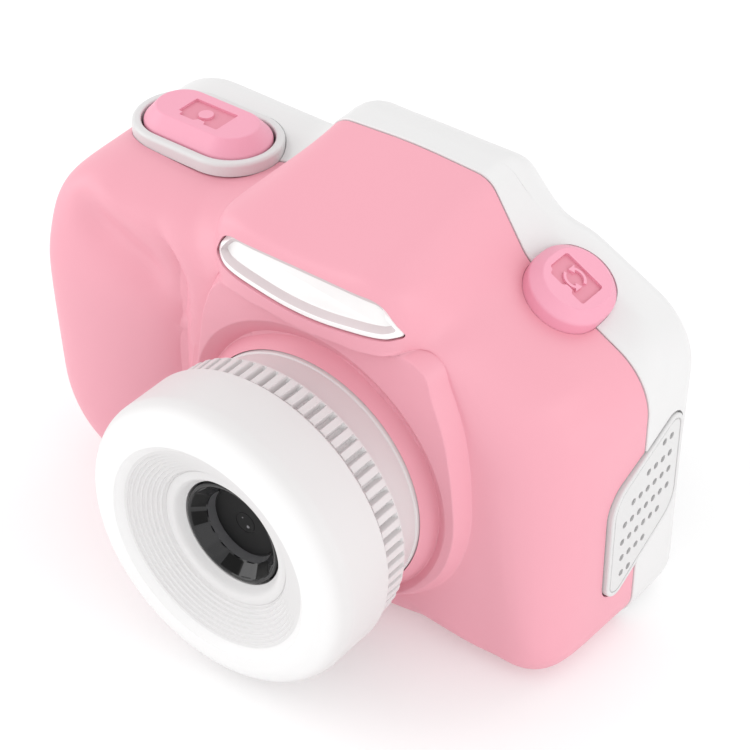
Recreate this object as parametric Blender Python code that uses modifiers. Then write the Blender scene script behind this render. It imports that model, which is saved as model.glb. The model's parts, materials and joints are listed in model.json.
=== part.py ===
"""A kids digital camera, piece by piece, for Blender 4.5. Metres, +Z up, the lens looks along -Y.

The origin is on the base, under the lens axis. The two case halves meet at SEAM_Y. The pink front
cover carries the lens, the flash window and the grip, and the white rear cover carries the display
and the keys. Places on the case are given as x, as distance behind the seam (or depth in front of
it) and as height above the lens axis.
"""

import math

import bmesh
import bpy
import numpy as np
from mathutils import Matrix, Vector

# ---- Driving dimensions --------------------------------------------------------------------------
LENS_Z = 0.0255  # height of the lens axis over the base
SEAM_Y = 0.0040  # where the two covers meet
GAP = 0.0003  # clearance between neighbouring pieces
WALL = 0.0018  # thickness of both covers

LEFT_X = -0.0556  # outer side of the grip
RIGHT_X = 0.0422  # outer side at the speaker
SHOULDER = 0.0320  # top of the grip shoulder under the shutter button, above the lens axis
HUMP = 0.0450  # top of the hump, above the lens axis
FACE_DEPTH = 0.0218  # front face, in front of the seam
GRIP_HEIGHT = 0.0037  # how far the grip stands in front of the face
GRIP_CREASE = -0.0314  # x where the grip rises out of the face
DENT_DEPTH = 0.0016  # finger dent above the grip
VALLEY_DEPTH = 0.0006  # shallow valley beside the lens panel
BROW_SOFT = 0.0012  # half width of the blend between the brow and the face
BROW_DEPTH = 0.0266  # middle of the brow that holds the flash
BROW_HALF = 0.0165  # half width of the brow
BROW_BOW = 0.0019  # how far the brow falls back at its ends
FLASH_SUNK = 0.0003  # how far the flash window lies behind the brow
REAR_DEPTH = 0.0135  # rear face, behind the seam
REAR_PROUD = 0.00025  # how far the rear cover stands proud at the seam

RECESS_FLOOR_R = 0.0221
RECESS_FLOOR_DEPTH = 0.0225
LENS_HOLE_R = 0.0207
MOUTH_DEPTH = 0.0250  # the recess floor rises to this depth at the lens hole
AROUND = 84  # points around each case section
FINER = 4  # how much finer the case is worked out before its points are chosen
WALL_ROWS = 4  # rows of points up the wall, round its front edge and across the face
BEND_ROWS = 6
FACE_ROWS = 5
RELAX_PASSES = 6

# Lens assembly: radius and how far each edge lies in front of the seam
BARREL_R = 0.0237
BARREL_FRONT = 0.0486
BARREL_REAR = 0.0364
RING_R = 0.0228
RING_REAR = 0.0313
RING_RIBS = 66
COLLAR_R = 0.0203
COLLAR_BORE = 0.0165
SPIGOT_R = 0.0190
BEZEL_R = 0.0085
BEZEL_FRONT = 0.0428
GLASS_R = 0.0057
GLASS_FRONT = 0.0406

SHUTTER = (-0.0385, -0.0015)  # x and distance behind the seam, of the shutter button's middle
SWAP = (0.0264, 0.0008, 0.0290)  # x, distance behind the seam and height of the lens-swap button
SWAP_TILT = math.radians(28.0)
KEY_PAD = (-0.0370, 0.0040)  # x and height of the middle of the rear key pad
KEY_STEP = 0.0074

DISPLAY = (0.0055, 0.0010)  # x and height of the display's middle
DISPLAY_SIZE = (0.0500, 0.0380)
SELFIE = (0.0, 0.0290)
SCREWS = ((-0.0504, 0.0225), (-0.0460, -0.0150), (0.0366, -0.0198), (0.0355, 0.0155))
POST_R = 0.0026  # posts of the front cover that take the screws
SPEAKER = (0.0006, -0.0014)  # distance behind the seam and height of the speaker's middle
USB_MOUTH = (-0.0530, -0.0045, 0.0122)  # x, behind and height of the mouths of the two sockets
CARD_MOUTH = (-0.0522, -0.0039, 0.0009)
MICROPHONE = (-0.0200, 0.0140)  # x and height of the microphone on the main board
BOARD_Y = 0.0026  # front of the main board, in front of the seam
BOARD_T = 0.0012

PINK = (0.93, 0.40, 0.47, 1.0)
WHITE = (0.86, 0.85, 0.84, 1.0)
BLACK = (0.012, 0.012, 0.013, 1.0)
GREEN = (0.03, 0.17, 0.08, 1.0)
STEEL = (0.62, 0.62, 0.63, 1.0)
AMBER = (0.55, 0.27, 0.05, 1.0)
GREY = (0.25, 0.25, 0.26, 1.0)


# ---- Scene and material helpers ------------------------------------------------------------------
def clear_scene():
    for obj in list(bpy.data.objects):
        bpy.data.objects.remove(obj, do_unlink=True)


def new_collection(name):
    collection = bpy.data.collections.new(name)
    bpy.context.scene.collection.children.link(collection)
    return collection


def paint(name, colour, roughness, metallic=0.0):
    material = bpy.data.materials.new(name)
    material.use_nodes = True
    shader = material.node_tree.nodes["Principled BSDF"]
    shader.inputs["Base Color"].default_value = colour
    shader.inputs["Roughness"].default_value = roughness
    shader.inputs["Metallic"].default_value = metallic
    material.diffuse_color = colour
    return material


def finish(obj, colour, roughness, metallic=0.0, smooth=None):
    """Gives a part its material and, for a round part, smooth shading up to an angle in degrees."""
    obj.data.materials.clear()
    obj.data.materials.append(paint(obj.name + "_finish", colour, roughness, metallic))
    if smooth:
        obj.data.shade_smooth()
        obj.data.set_sharp_from_angle(angle=math.radians(smooth))
    return obj


def add_object(name, mesh, cutter=False):
    obj = bpy.data.objects.new(name, mesh)
    (CUTTERS if cutter else PARTS).objects.link(obj)
    if cutter:
        obj.hide_render = True
        obj.display_type = "WIRE"
    return obj


def case_point(x, behind, height):
    """World place of a point given by x, distance behind the seam and height above the lens axis."""
    return Vector((x, SEAM_Y + behind, LENS_Z + height))


def move_origin(obj, point):
    """Puts the object's origin at a point, leaving its shape where it is."""
    obj.data.transform(Matrix.Translation(-Vector(point)))
    obj.location = Vector(point)


def boolean(obj, other, operation="DIFFERENCE"):
    modifier = obj.modifiers.new(operation.lower() + "_" + other.name, "BOOLEAN")
    modifier.operation = operation
    modifier.object = other
    modifier.solver = "EXACT"


# ---- Outlines, as lists of 2D points -------------------------------------------------------------
def arc(centre, radius, start, end, steps):
    angles = np.radians(np.linspace(start, end, steps + 1))
    return [(centre[0] + radius * math.cos(a), centre[1] + radius * math.sin(a)) for a in angles]


def circle(radius, steps, centre=(0.0, 0.0)):
    return arc(centre, radius, 0.0, 360.0, steps)[:-1]


def rounded_box(width, height, radius, steps=3, centre=(0.0, 0.0)):
    points = []
    for quarter in range(4):
        across = 1 if quarter in (0, 3) else -1
        up = 1 if quarter in (0, 1) else -1
        middle = (centre[0] + across * (width / 2 - radius), centre[1] + up * (height / 2 - radius))
        points += arc(middle, radius, 90 * quarter, 90 * quarter + 90, steps)
    return points


def stadium(length, width, steps=10):
    half = (length - width) / 2
    right = arc((half, 0.0), width / 2, -90, 90, steps)
    return right + arc((-half, 0.0), width / 2, 90, 270, steps)


def filleted(corners, steps=5):
    """A closed outline whose corners (x, y, radius) are rounded by arcs."""
    points = []
    count = len(corners)
    for i, (x, y, radius) in enumerate(corners):
        here = np.array((x, y))
        back = np.array(corners[i - 1][:2]) - here
        ahead = np.array(corners[(i + 1) % count][:2]) - here
        back = back / np.linalg.norm(back)
        ahead = ahead / np.linalg.norm(ahead)
        half = math.acos(float(np.clip(back @ ahead, -1.0, 1.0))) / 2
        run = radius / math.tan(half)
        middle = here + (back + ahead) / np.linalg.norm(back + ahead) * radius / math.sin(half)
        first = here + back * run - middle
        last = here + ahead * run - middle
        for t in np.linspace(0.0, 1.0, steps + 1):
            spoke = first * (1 - t) + last * t
            points.append(tuple(middle + spoke / np.linalg.norm(spoke) * radius))
    return points


# ---- Solids --------------------------------------------------------------------------------------
def mesh_of(bm, name):
    bmesh.ops.recalc_face_normals(bm, faces=bm.faces)
    mesh = bpy.data.meshes.new(name)
    bm.to_mesh(mesh)
    bm.free()
    return mesh


def slab(name, outlines, bottom, top, placing=None, cutter=False):
    """Extrudes flat outlines along local Z, then places them. Outlines inside the first are holes."""
    curve = bpy.data.curves.new(name, "CURVE")
    curve.dimensions = "2D"
    curve.fill_mode = "BOTH"
    curve.extrude = (top - bottom) / 2
    for outline in outlines:
        spline = curve.splines.new("POLY")
        spline.points.add(len(outline) - 1)
        for point, (x, y) in zip(spline.points, outline):
            point.co = (x, y, 0.0, 1.0)
        spline.use_cyclic_u = True
    rough = bpy.data.objects.new(name + "_outline", curve)
    bpy.context.scene.collection.objects.link(rough)
    graph = bpy.context.evaluated_depsgraph_get()
    mesh = bpy.data.meshes.new_from_object(rough.evaluated_get(graph))
    bpy.data.objects.remove(rough, do_unlink=True)
    bm = bmesh.new()
    bm.from_mesh(mesh)
    bmesh.ops.remove_doubles(bm, verts=bm.verts, dist=1e-6)
    bmesh.ops.translate(bm, verts=bm.verts, vec=(0.0, 0.0, (top + bottom) / 2))
    bmesh.ops.transform(bm, matrix=placing or Matrix(), verts=bm.verts)
    return add_object(name, mesh_of(bm, name), cutter)


def block(name, size, middle, cutter=False):
    bm = bmesh.new()
    bmesh.ops.create_cube(bm, size=1.0)
    bmesh.ops.scale(bm, vec=size, verts=bm.verts)
    bmesh.ops.translate(bm, verts=bm.verts, vec=middle)
    return add_object(name, mesh_of(bm, name), cutter)


def rod(name, radius, start, end, sides=16, cutter=False):
    """A cylinder between two points."""
    along = Vector(end) - Vector(start)
    turn = along.to_track_quat("Z", "Y").to_matrix().to_4x4()
    bm = bmesh.new()
    place = Matrix.Translation((Vector(start) + Vector(end)) / 2) @ turn
    bmesh.ops.create_cone(bm, cap_ends=True, segments=sides, radius1=radius, radius2=radius,
                          depth=along.length, matrix=place)
    return add_object(name, mesh_of(bm, name), cutter)


def turned(name, profile, steps, centre=None):
    """Turns (radius, forward) points about the lens axis, or about a line along -Y through centre.

    A profile that starts on the axis makes a full solid, and any other is the section of a ring.
    """
    mesh = bpy.data.meshes.new(name)
    count = len(profile)
    edges = [(i, (i + 1) % count) for i in range(count if profile[0][0] > 0 else count - 1)]
    mesh.from_pydata([(r, 0.0, forward) for r, forward in profile], edges, [])
    obj = add_object(name, mesh)
    obj.location = centre or case_point(0.0, 0.0, 0.0)
    obj.rotation_euler = (math.radians(90.0), 0.0, 0.0)
    screw = obj.modifiers.new("turn", "SCREW")
    screw.axis = "Z"
    screw.steps = steps
    screw.render_steps = steps
    screw.use_merge_vertices = True
    screw.merge_threshold = 0.00001
    return obj


def chamfer_edges(obj, chosen, width, segments=1):
    """Bevels the edges whose two ends both satisfy the given test."""
    bm = bmesh.new()
    bm.from_mesh(obj.data)
    edges = [e for e in bm.edges if chosen(e.verts[0].co) and chosen(e.verts[1].co)]
    edges = [e for e in edges if len(e.link_faces) == 2 and e.calc_face_angle() > math.radians(30)]
    bmesh.ops.bevel(bm, geom=edges, offset=width, segments=segments, affect="EDGES", profile=0.5)
    bm.to_mesh(obj.data)
    bm.free()


def lofted(name, rings, closed, cutter=False):
    """Joins rings of equal length with quads, back to the first when closed, else capped at both ends."""
    bm = bmesh.new()
    rows = [[bm.verts.new(point) for point in ring] for ring in rings]
    count = len(rows[0])
    pairs = list(zip(rows, rows[1:]))
    if closed:
        pairs.append((rows[-1], rows[0]))
    for low, high in pairs:
        for i in range(count):
            j = (i + 1) % count
            bm.faces.new((low[i], low[j], high[j], high[i]))
    if not closed:
        bm.faces.new(rows[0])
        bm.faces.new(rows[-1])
    return add_object(name, mesh_of(bm, name), cutter)


def wire(name, points, radius):
    """A round wire through the given points, closed at both ends."""
    curve = bpy.data.curves.new(name, "CURVE")
    curve.dimensions = "3D"
    curve.bevel_depth = radius
    curve.bevel_resolution = 2
    curve.use_fill_caps = True
    spline = curve.splines.new("POLY")
    spline.points.add(len(points) - 1)
    for point, place in zip(spline.points, points):
        point.co = (*place, 1.0)
    rough = bpy.data.objects.new(name + "_path", curve)
    bpy.context.scene.collection.objects.link(rough)
    graph = bpy.context.evaluated_depsgraph_get()
    mesh = bpy.data.meshes.new_from_object(rough.evaluated_get(graph))
    bpy.data.objects.remove(rough, do_unlink=True)
    bm = bmesh.new()
    bm.from_mesh(mesh)
    bmesh.ops.remove_doubles(bm, verts=bm.verts, dist=1e-6)
    return add_object(name, mesh_of(bm, name))


def facing(direction, centre):
    """Places a slab's plane on the case: X runs along +X or, on the sides, along Y, and Z outwards."""
    turns = {
        "front": Matrix.Rotation(math.radians(90), 4, "X"),
        "rear": Matrix.Rotation(math.radians(90), 4, "X") @ Matrix.Scale(-1, 4, (0, 0, 1)),
        "right": Matrix.Rotation(math.radians(90), 4, "Z") @ Matrix.Rotation(math.radians(90), 4, "X"),
        "left": Matrix.Rotation(math.radians(90), 4, "Z") @ Matrix.Rotation(math.radians(90), 4, "X")
        @ Matrix.Scale(-1, 4, (0, 0, 1)),
    }
    return Matrix.Translation(centre) @ turns[direction]


# ---- The case form -------------------------------------------------------------------------------
def step(low, high, value):
    """Rises smoothly from 0 at low to 1 at high."""
    t = np.clip((value - low) / (high - low), 0.0, 1.0)
    return t * t * (3 - 2 * t)


def by_angle(keys, angle):
    """Reads a smooth closed curve given by (degrees, value) keys."""
    degrees = np.array([k[0] for k in keys] + [keys[0][0] + 360.0])
    values = np.array([k[1] for k in keys] + [keys[0][1]])
    turn = (np.degrees(angle) - degrees[0]) % 360.0 + degrees[0]
    i = np.clip(np.searchsorted(degrees, turn, side="right") - 1, 0, len(keys) - 1)
    slopes = np.diff(values) / np.diff(degrees)
    before = np.roll(slopes, 1)
    same = before * slopes > 0
    tangent = np.where(same, 2 * before * slopes / np.where(same, before + slopes, 1.0), 0.0)
    tangent = np.append(tangent, tangent[0])
    width = degrees[i + 1] - degrees[i]
    t = (turn - degrees[i]) / width
    rise = (2 * t**3 - 3 * t**2 + 1) * values[i] + (3 * t**2 - 2 * t**3) * values[i + 1]
    lean = (t**3 - 2 * t**2 + t) * tangent[i] + (t**3 - t**2) * tangent[i + 1]
    return rise + lean * width


# The seam outline: x, height above the lens axis and corner radius, anticlockwise seen from the front
SEAM = (
    (RIGHT_X, -LENS_Z, 0.0060),
    (RIGHT_X, 0.0212, 0.0110),
    (0.0205, 0.0330, 0.0080),
    (0.0134, 0.0440, 0.0042),
    (0.0, HUMP, 0.0900),
    (-0.0134, 0.0440, 0.0042),
    (-0.0228, 0.0315, 0.0080),
    (LEFT_X, 0.0326, 0.0095),
    (LEFT_X, -LENS_Z, 0.0190),
)
# The same outline further back, where the rear cover has swelled out at the shoulders
REAR_OUTLINE = (
    (RIGHT_X, -LENS_Z, 0.0060),
    (RIGHT_X, 0.0240, 0.0120),
    (0.0205, 0.0352, 0.0080),
    (0.0134, 0.0440, 0.0042),
    (0.0, HUMP, 0.0900),
    (-0.0134, 0.0440, 0.0042),
    (-0.0228, 0.0334, 0.0080),
    (LEFT_X, 0.0334, 0.0095),
    (LEFT_X, -LENS_Z, 0.0190),
)
# Values around the lens axis, keyed by degrees from +X through the top: how far the wall leans in on
# its way to the front, the rounding of the front edge and the rounding of the rear edge
WALL_LEAN = ((0, 0.0002), (24, 0.0008), (45, 0.0016), (58, 0.0008), (66, 0.0), (74, 0.0036),
             (90, 0.0052), (106, 0.0036), (114, 0.0), (124, 0.0006), (142, 0.0006), (155, 0.0004),
             (168, 0.0002), (196, 0.0002), (215, 0.0030), (240, 0.0008), (300, 0.0008), (322, 0.0006),
             (345, 0.0002))
FRONT_ROUND = ((0, 0.0105), (30, 0.0120), (46, 0.0125), (57, 0.0105), (65, 0.0050), (74, 0.0030),
               (90, 0.0024), (106, 0.0030), (115, 0.0050), (125, 0.0100), (138, 0.0100), (150, 0.0060),
               (165, 0.0062), (190, 0.0080), (215, 0.0105), (245, 0.0070), (300, 0.0066), (325, 0.0062),
               (345, 0.0090))
REAR_BEND = ((0, 0.0042), (30, 0.0034), (52, 0.0036), (66, 0.0080), (90, 0.0100), (114, 0.0080),
             (128, 0.0042), (150, 0.0042), (270, 0.0042))
REAR_SWELL = 0.0070  # how far behind the seam the rear outline is reached
# Outer radius of the raised panel around the lens, and the width of the bevel up to it
PANEL_RADIUS = ((-90, 0.0233), (-60, 0.0237), (-40, 0.0249), (-22, 0.0260), (-8, 0.0266), (12, 0.0276),
                (25, 0.0292), (36, 0.0314), (47, 0.0338), (53, 0.0356), (58, 0.0350), (64, 0.0317),
                (73, 0.0289), (90, 0.0270), (106, 0.0287), (117, 0.0315), (123, 0.0325), (134, 0.0302),
                (146, 0.0271),
                (158, 0.0254), (180, 0.0247), (225, 0.0238))
PANEL_STEP = ((0, 0.0014), (45, 0.0014), (60, 0.0010), (90, 0.0009), (120, 0.0010), (135, 0.0013),
              (180, 0.0006), (270, 0.0002), (330, 0.0011))


def spread(outline, count):
    """The same closed outline with its points spaced evenly."""
    closed = np.array(outline + outline[:1])
    run = np.concatenate([[0.0], np.cumsum(np.linalg.norm(np.diff(closed, axis=0), axis=1))])
    at = np.linspace(0.0, run[-1], count, endpoint=False)
    return np.stack([np.interp(at, run, closed[:, k]) for k in (0, 1)], axis=1)


def case_angles(count):
    """Radius and angle about the lens axis of points spaced evenly along the seam."""
    outline = spread(filleted(SEAM, 24), count)
    return np.hypot(outline[:, 0], outline[:, 1]), np.arctan2(outline[:, 1], outline[:, 0])


def rear_radius(angle):
    """Radius of the swelled rear outline at each angle."""
    outline = spread(filleted(REAR_OUTLINE, 24), 1200)
    turn = np.arctan2(outline[:, 1], outline[:, 0])
    order = np.argsort(turn)
    return np.interp(angle, turn[order], np.hypot(*outline[order].T), period=2 * math.pi)


def face_depth(x, z):
    """Depth of the front surface outside the raised panel: face, grip, finger dent, valley and brow."""
    crease = GRIP_CREASE - 0.0050 * step(0.015, 0.031, z)
    grip = GRIP_HEIGHT * step(0.0, 0.0065, crease - x) * (1 - step(0.014, 0.032, z))
    dent = DENT_DEPTH * np.exp(-(((x + 0.0430) / 0.0075) ** 2 + ((z - 0.0220) / 0.0050) ** 2))
    valley = VALLEY_DEPTH * np.exp(-(((x - 0.0300) / 0.0030) ** 2)) * (1 - step(0.016, 0.026, z))
    face = FACE_DEPTH + grip - dent - valley
    brow = BROW_DEPTH - BROW_BOW * (x / BROW_HALF) ** 8 - 0.0080 * (1 - step(0.002, 0.018, z))
    blend = np.clip(0.5 + (brow - face) / (2 * BROW_SOFT), 0.0, 1.0)
    return face * (1 - blend) + brow * blend + BROW_SOFT * blend * (1 - blend)


def panel_depth(x, z):
    """Depth of the raised panel around the lens, which leans forward towards the brow."""
    return 0.0231 + 0.0016 * step(-0.012, 0.022, z) + 0.012 * x


def recess_edge(angle):
    """Radius where the cone of the lens recess meets the panel."""
    radius = 0.0245
    for _ in range(6):
        deep = panel_depth(radius * np.cos(angle), radius * np.sin(angle))
        radius = RECESS_FLOOR_R + 1.4 * (deep - RECESS_FLOOR_DEPTH)
    return np.minimum(radius, by_angle(PANEL_RADIUS, angle) - 0.0004)


def relaxed(grid, passes):
    """Evens out the rows between the first and the last, so that wall, rounding and face flow together."""
    for _ in range(passes):
        along = (grid[:-2] + grid[2:]) / 2
        around = (np.roll(grid[1:-1], 1, axis=1) + np.roll(grid[1:-1], -1, axis=1)) / 2
        grid[1:-1] = 0.4 * grid[1:-1] + 0.3 * along + 0.3 * around
    return grid


def flowing_skin(radius, angle):
    """Rows of (radius, depth) from the seam over the wall, the rounding and the face to the panel."""
    panel = by_angle(PANEL_RADIUS, angle)
    room = 0.9 * (radius - panel)
    rise = by_angle(FRONT_ROUND, angle)
    bend = np.maximum(np.minimum(rise, room), 0.0008)
    lean = np.minimum(by_angle(WALL_LEAN, angle), np.maximum(room - bend, 0.0))
    end = radius - lean - bend
    deep = face_depth(end * np.cos(angle), end * np.sin(angle))
    rows = []
    for share in np.linspace(0.0, 1.0, WALL_ROWS + 1):
        rows.append((radius - lean * share, (deep - rise) * share))
    for turn in np.linspace(0.0, math.pi / 2, BEND_ROWS + 1)[1:]:
        rows.append((radius - lean - bend * (1 - math.cos(turn)), deep - rise * (1 - math.sin(turn))))
    for share in np.linspace(0.0, 1.0, FACE_ROWS + 1)[1:]:
        at = end * (1 - share) + panel * share
        rows.append((at, face_depth(at * np.cos(angle), at * np.sin(angle))))
    grid = np.array(rows).transpose(0, 2, 1)
    return relaxed(grid, RELAX_PASSES)


def case_ring(radius, depth, angle):
    """World points of one ring of the case, from radius about the lens axis and depth before the seam."""
    height = np.maximum(LENS_Z + radius * np.sin(angle), 0.0)
    rows = np.stack([radius * np.cos(angle), SEAM_Y - depth, height], axis=1)
    return [tuple(row) for row in rows]


def front_cover_form():
    """The closed shell of the front cover: the outer skin to the lens hole, and the inner skin back."""
    radius, angle = case_angles(AROUND * FINER)
    grid = flowing_skin(radius, angle)[:, ::FINER]
    angle = angle[::FINER]
    bend_end = WALL_ROWS + BEND_ROWS
    kept = (0, WALL_ROWS - 1, WALL_ROWS + 2, WALL_ROWS + 4, bend_end, bend_end + 2, len(grid) - 1)
    rings = [(grid[i, :, 0], grid[i, :, 1]) for i in kept]
    rim = recess_edge(angle)
    panel = by_angle(PANEL_RADIUS, angle)
    top = np.maximum(panel - by_angle(PANEL_STEP, angle), rim + 0.0002)
    for radius in (top, rim):
        rings.append((radius, panel_depth(radius * np.cos(angle), radius * np.sin(angle))))
    floor = np.full_like(angle, RECESS_FLOOR_DEPTH)
    mouth = np.full_like(angle, LENS_HOLE_R)
    lip = np.full_like(angle, MOUTH_DEPTH)
    rings += [(np.full_like(angle, RECESS_FLOOR_R), floor), (mouth, lip), (mouth, lip - WALL)]
    rings.append((grid[-1, :, 0] - 0.0006, np.minimum(grid[-1, :, 1], RECESS_FLOOR_DEPTH) - WALL))
    for i in (bend_end, WALL_ROWS + 2, WALL_ROWS - 1, 0):
        inward = WALL * (1.0 if i <= WALL_ROWS + 2 else 0.4)
        forward = WALL * (0.0 if i < WALL_ROWS else 0.7 if i == WALL_ROWS + 2 else 1.0)
        rings.append((grid[i, :, 0] - inward, grid[i, :, 1] - forward))
    return [case_ring(radius, depth, angle) for radius, depth in rings]


def rear_skin(radius, angle, inset=0.0, grow=0.0, arcs=6):
    """Rings of (radius, depth) of the rear cover, from the seam over the swelled wall to the rear face."""
    full = rear_radius(angle)
    bend = by_angle(REAR_BEND, angle)
    rings = []
    for behind in (GAP, 0.0020, 0.0040, 0.0060):
        at = radius + (full - radius) * step(0.0, REAR_SWELL, behind)
        rings.append((at + grow - inset, np.minimum(behind, REAR_DEPTH - bend - 0.0002)))
    tight = bend - inset
    for turn in np.linspace(0.0, math.pi / 2, arcs + 1):
        behind = REAR_DEPTH - inset - tight * (1 - math.sin(turn))
        out = radius + (full - radius) * step(0.0, REAR_SWELL, behind) + grow - inset
        rings.append((out - tight * (1 - math.cos(turn)), behind))
    return [(at, -behind) for at, behind in rings]


def rear_cover_form():
    """The closed shell of the rear cover: the outer skin from the rear face to the seam, and the inner."""
    radius, angle = case_angles(AROUND)
    outer = rear_skin(radius, angle, 0.0, REAR_PROUD, 3)
    inner = rear_skin(radius, angle, WALL, 0.0, 2)
    kept = outer[:1] + outer[2:3] + outer[4:]
    inside = inner[:1] + inner[2:3] + inner[4:]
    return [case_ring(at, depth, angle) for at, depth in kept[::-1] + inside]


# ---- Cutters shared by both covers ---------------------------------------------------------------
def grille_outline(margin=0.0):
    """Leaf-shaped outline of the speaker grille, as (distance behind the seam, height)."""
    m = margin
    corners = ((0.0098 + m, 0.0128 + 1.6 * m, 0.0028 + m), (-0.0086 - m, 0.0045 + 0.7 * m, 0.0060 + m),
               (-0.0086 - m, -0.0168 - 1.6 * m, 0.0028 + m), (0.0098 + m, -0.0070 - 0.7 * m, 0.0060 + m))
    return filleted(corners, 5)


def swap_frame():
    """Local frame of the lens-swap button: its Z is the button's axis, leaning to the right."""
    return Matrix.Translation(case_point(*SWAP)) @ Matrix.Rotation(SWAP_TILT, 4, "Y")


def shared_cutters():
    swap_hole = [(y, x) for x, y in stadium(0.0152, 0.0137, 9)][::-1]
    return [
        slab("cut_shutter_seat", [stadium(0.0268, 0.0168, 9)], -0.0006, 0.0060, shutter_frame(), True),
        slab("cut_shutter_hole", [stadium(0.0254, 0.0154, 9)], -0.0040, 0.0020, shutter_frame(), True),
        slab("cut_swap", [swap_hole], -0.0034, 0.0080, swap_frame(), True),
        slab("cut_grille", [grille_outline(GAP)], -0.0045, 0.0020,
             facing("right", case_point(RIGHT_X, 0.0, 0.0)), True),
    ]


# ---- Covers --------------------------------------------------------------------------------------
def flash_outline(margin=0.0):
    """The flash window seen from the front: a slot with a bowed lower side and ends that lean outwards."""
    m = margin
    right = [(0.0, 0.0290 - m, 0.0400), (0.0146 + 0.5 * m, 0.0313 - m, 0.0015 + 0.5 * m),
             (0.0170 + 1.2 * m, 0.0322 - 0.8 * m, 0.0006 + 0.2 * m), (0.0138 + 0.6 * m, 0.0373 + m, 0.0036 + m)]
    left = [(-x, height, radius) for x, height, radius in right[:0:-1]]
    return filleted(right + left, 4)


DOOR = (0.0084, 0.0220)  # width along Y and height of the port door
DOOR_PLACE = (-0.0062, 0.0060)  # middle of the door, behind the seam and above the lens axis


def door_frame():
    return facing("left", case_point(LEFT_X, DOOR_PLACE[0], DOOR_PLACE[1]))


def boss(name, x, height, start, end, radius, cutter):
    """A post along Y at one of the screws, between two distances behind the seam."""
    return rod(name, radius, case_point(x, start, height), case_point(x, end, height), 12, cutter)


def post_depth(x, height):
    """Depth at which a screw post ends inside the skin of the front cover, short of its outer side."""
    radius, angle = case_angles(AROUND * FINER)
    grid = flowing_skin(radius, angle)
    away = np.hypot(grid[:, :, 0] * np.cos(angle) - x, grid[:, :, 0] * np.sin(angle) - height)
    near = away < POST_R + 0.0008
    return float(grid[:, :, 1][near].min()) - WALL / 2


def front_cover(shared):
    cover = lofted("front_cover", front_cover_form(), True)
    for i, (x, height) in enumerate(SCREWS):
        start = -post_depth(x, height)
        boolean(cover, boss(f"post_{i}", x, height, start, 0.0098, POST_R, True), "UNION")
        boolean(cover, boss(f"pilot_{i}", x, height, -0.0040, 0.0110, 0.00115, True))
    boolean(cover, slab("cut_flash", [flash_outline(GAP)], 0.0150, 0.0320,
                        facing("front", case_point(0.0, 0.0, 0.0)), True))
    boolean(cover, slab("cut_door", [rounded_box(DOOR[0], DOOR[1], 0.0015)], -0.0040, 0.0020,
                        door_frame(), True))
    for cutter in shared:
        boolean(cover, cutter)
    return finish(cover, PINK, 0.5, smooth=28)


def rear_frame(x, height):
    """Frame on the rear face, its Z pointing out of the back."""
    return facing("rear", case_point(x, REAR_DEPTH, height))


def key_places():
    x, height = KEY_PAD
    return {
        "key_ok": (x, height),
        "key_up": (x, height + KEY_STEP),
        "key_down": (x, height - KEY_STEP),
        "key_left": (x - KEY_STEP, height),
        "key_right": (x + KEY_STEP, height),
        "key_power": (x - 0.0062, height + 0.0142),
        "key_playback": (x + 0.0062, height + 0.0142),
    }


def key_outline(name, margin=0.0):
    """Outline of a key's cap: a round OK key, arrow keys with a point outwards, and round corner keys."""
    if name in ("key_ok", "key_power", "key_playback"):
        return circle((0.0031 if name == "key_ok" else 0.0026) + margin, 18)
    turn = {"key_right": 0, "key_up": 90, "key_left": 180, "key_down": 270}[name]
    m = margin
    corners = ((0.0027 + 1.4 * m, 0.0, 0.0008 + m), (0.0006, 0.0029 + m, 0.0010 + m),
               (-0.0022 - m, 0.0029 + m, 0.0008 + m), (-0.0022 - m, -0.0029 - m, 0.0008 + m),
               (0.0006, -0.0029 - m, 0.0010 + m))
    c, s = math.cos(math.radians(turn)), math.sin(math.radians(turn))
    return [(c * x - s * y, s * x + c * y) for x, y in filleted(corners, 2)]


def rear_cover(shared):
    cover = lofted("rear_cover", rear_cover_form(), False)
    x, height = DISPLAY
    wide, tall = DISPLAY_SIZE
    window = rounded_box(wide + 2 * GAP, tall + 2 * GAP, 0.0025)
    boolean(cover, slab("cut_window", [window], -0.0012, 0.0010, rear_frame(x, height), True))
    opening = rounded_box(wide - 0.0060, tall - 0.0050, 0.0010)
    boolean(cover, slab("cut_display", [opening], -0.0030, 0.0, rear_frame(x, height), True))
    boolean(cover, slab("cut_selfie", [circle(0.0043, 20)], -0.0030, 0.0010, rear_frame(*SELFIE), True))
    for name, (key_x, key_height) in key_places().items():
        outline = key_outline(name, 1.2 * GAP)
        frame = rear_frame(key_x, key_height)
        boolean(cover, slab("cut_" + name, [outline], -0.0030, 0.0010, frame, True))
    for i, (screw_x, screw_height) in enumerate(SCREWS):
        boolean(cover, boss(f"pad_{i}", screw_x, screw_height, 0.0101, 0.0125, 0.0030, True), "UNION")
        boolean(cover, boss(f"head_{i}", screw_x, screw_height, 0.0112, 0.0150, 0.0021, True))
        boolean(cover, boss(f"shank_{i}", screw_x, screw_height, 0.0090, 0.0130, 0.00125, True))
    for cutter in shared:
        boolean(cover, cutter)
    return finish(cover, WHITE, 0.4, smooth=28)


# ---- Lens assembly: profiles are (radius, distance in front of the seam) -------------------------
def funnel_steps(count):
    """The smooth outer band of the funnel, its fine steps, the groove and the dish around the bezel."""
    points = [(0.0177, BARREL_FRONT), (0.0159, BARREL_FRONT - 0.0009)]
    fall = (BARREL_FRONT - 0.0009 - 0.0445) / count
    for i in range(count):
        radius = 0.0159 - 0.0043 * (i + 1) / count
        front = BARREL_FRONT - 0.0009 - fall * i
        points += [(radius + 0.0043 / count - 0.0001, front - fall), (radius, front - fall)]
    return points + [(0.0111, 0.0443), (0.0099, 0.0442), (BEZEL_R + GAP, BEZEL_FRONT)]


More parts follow.
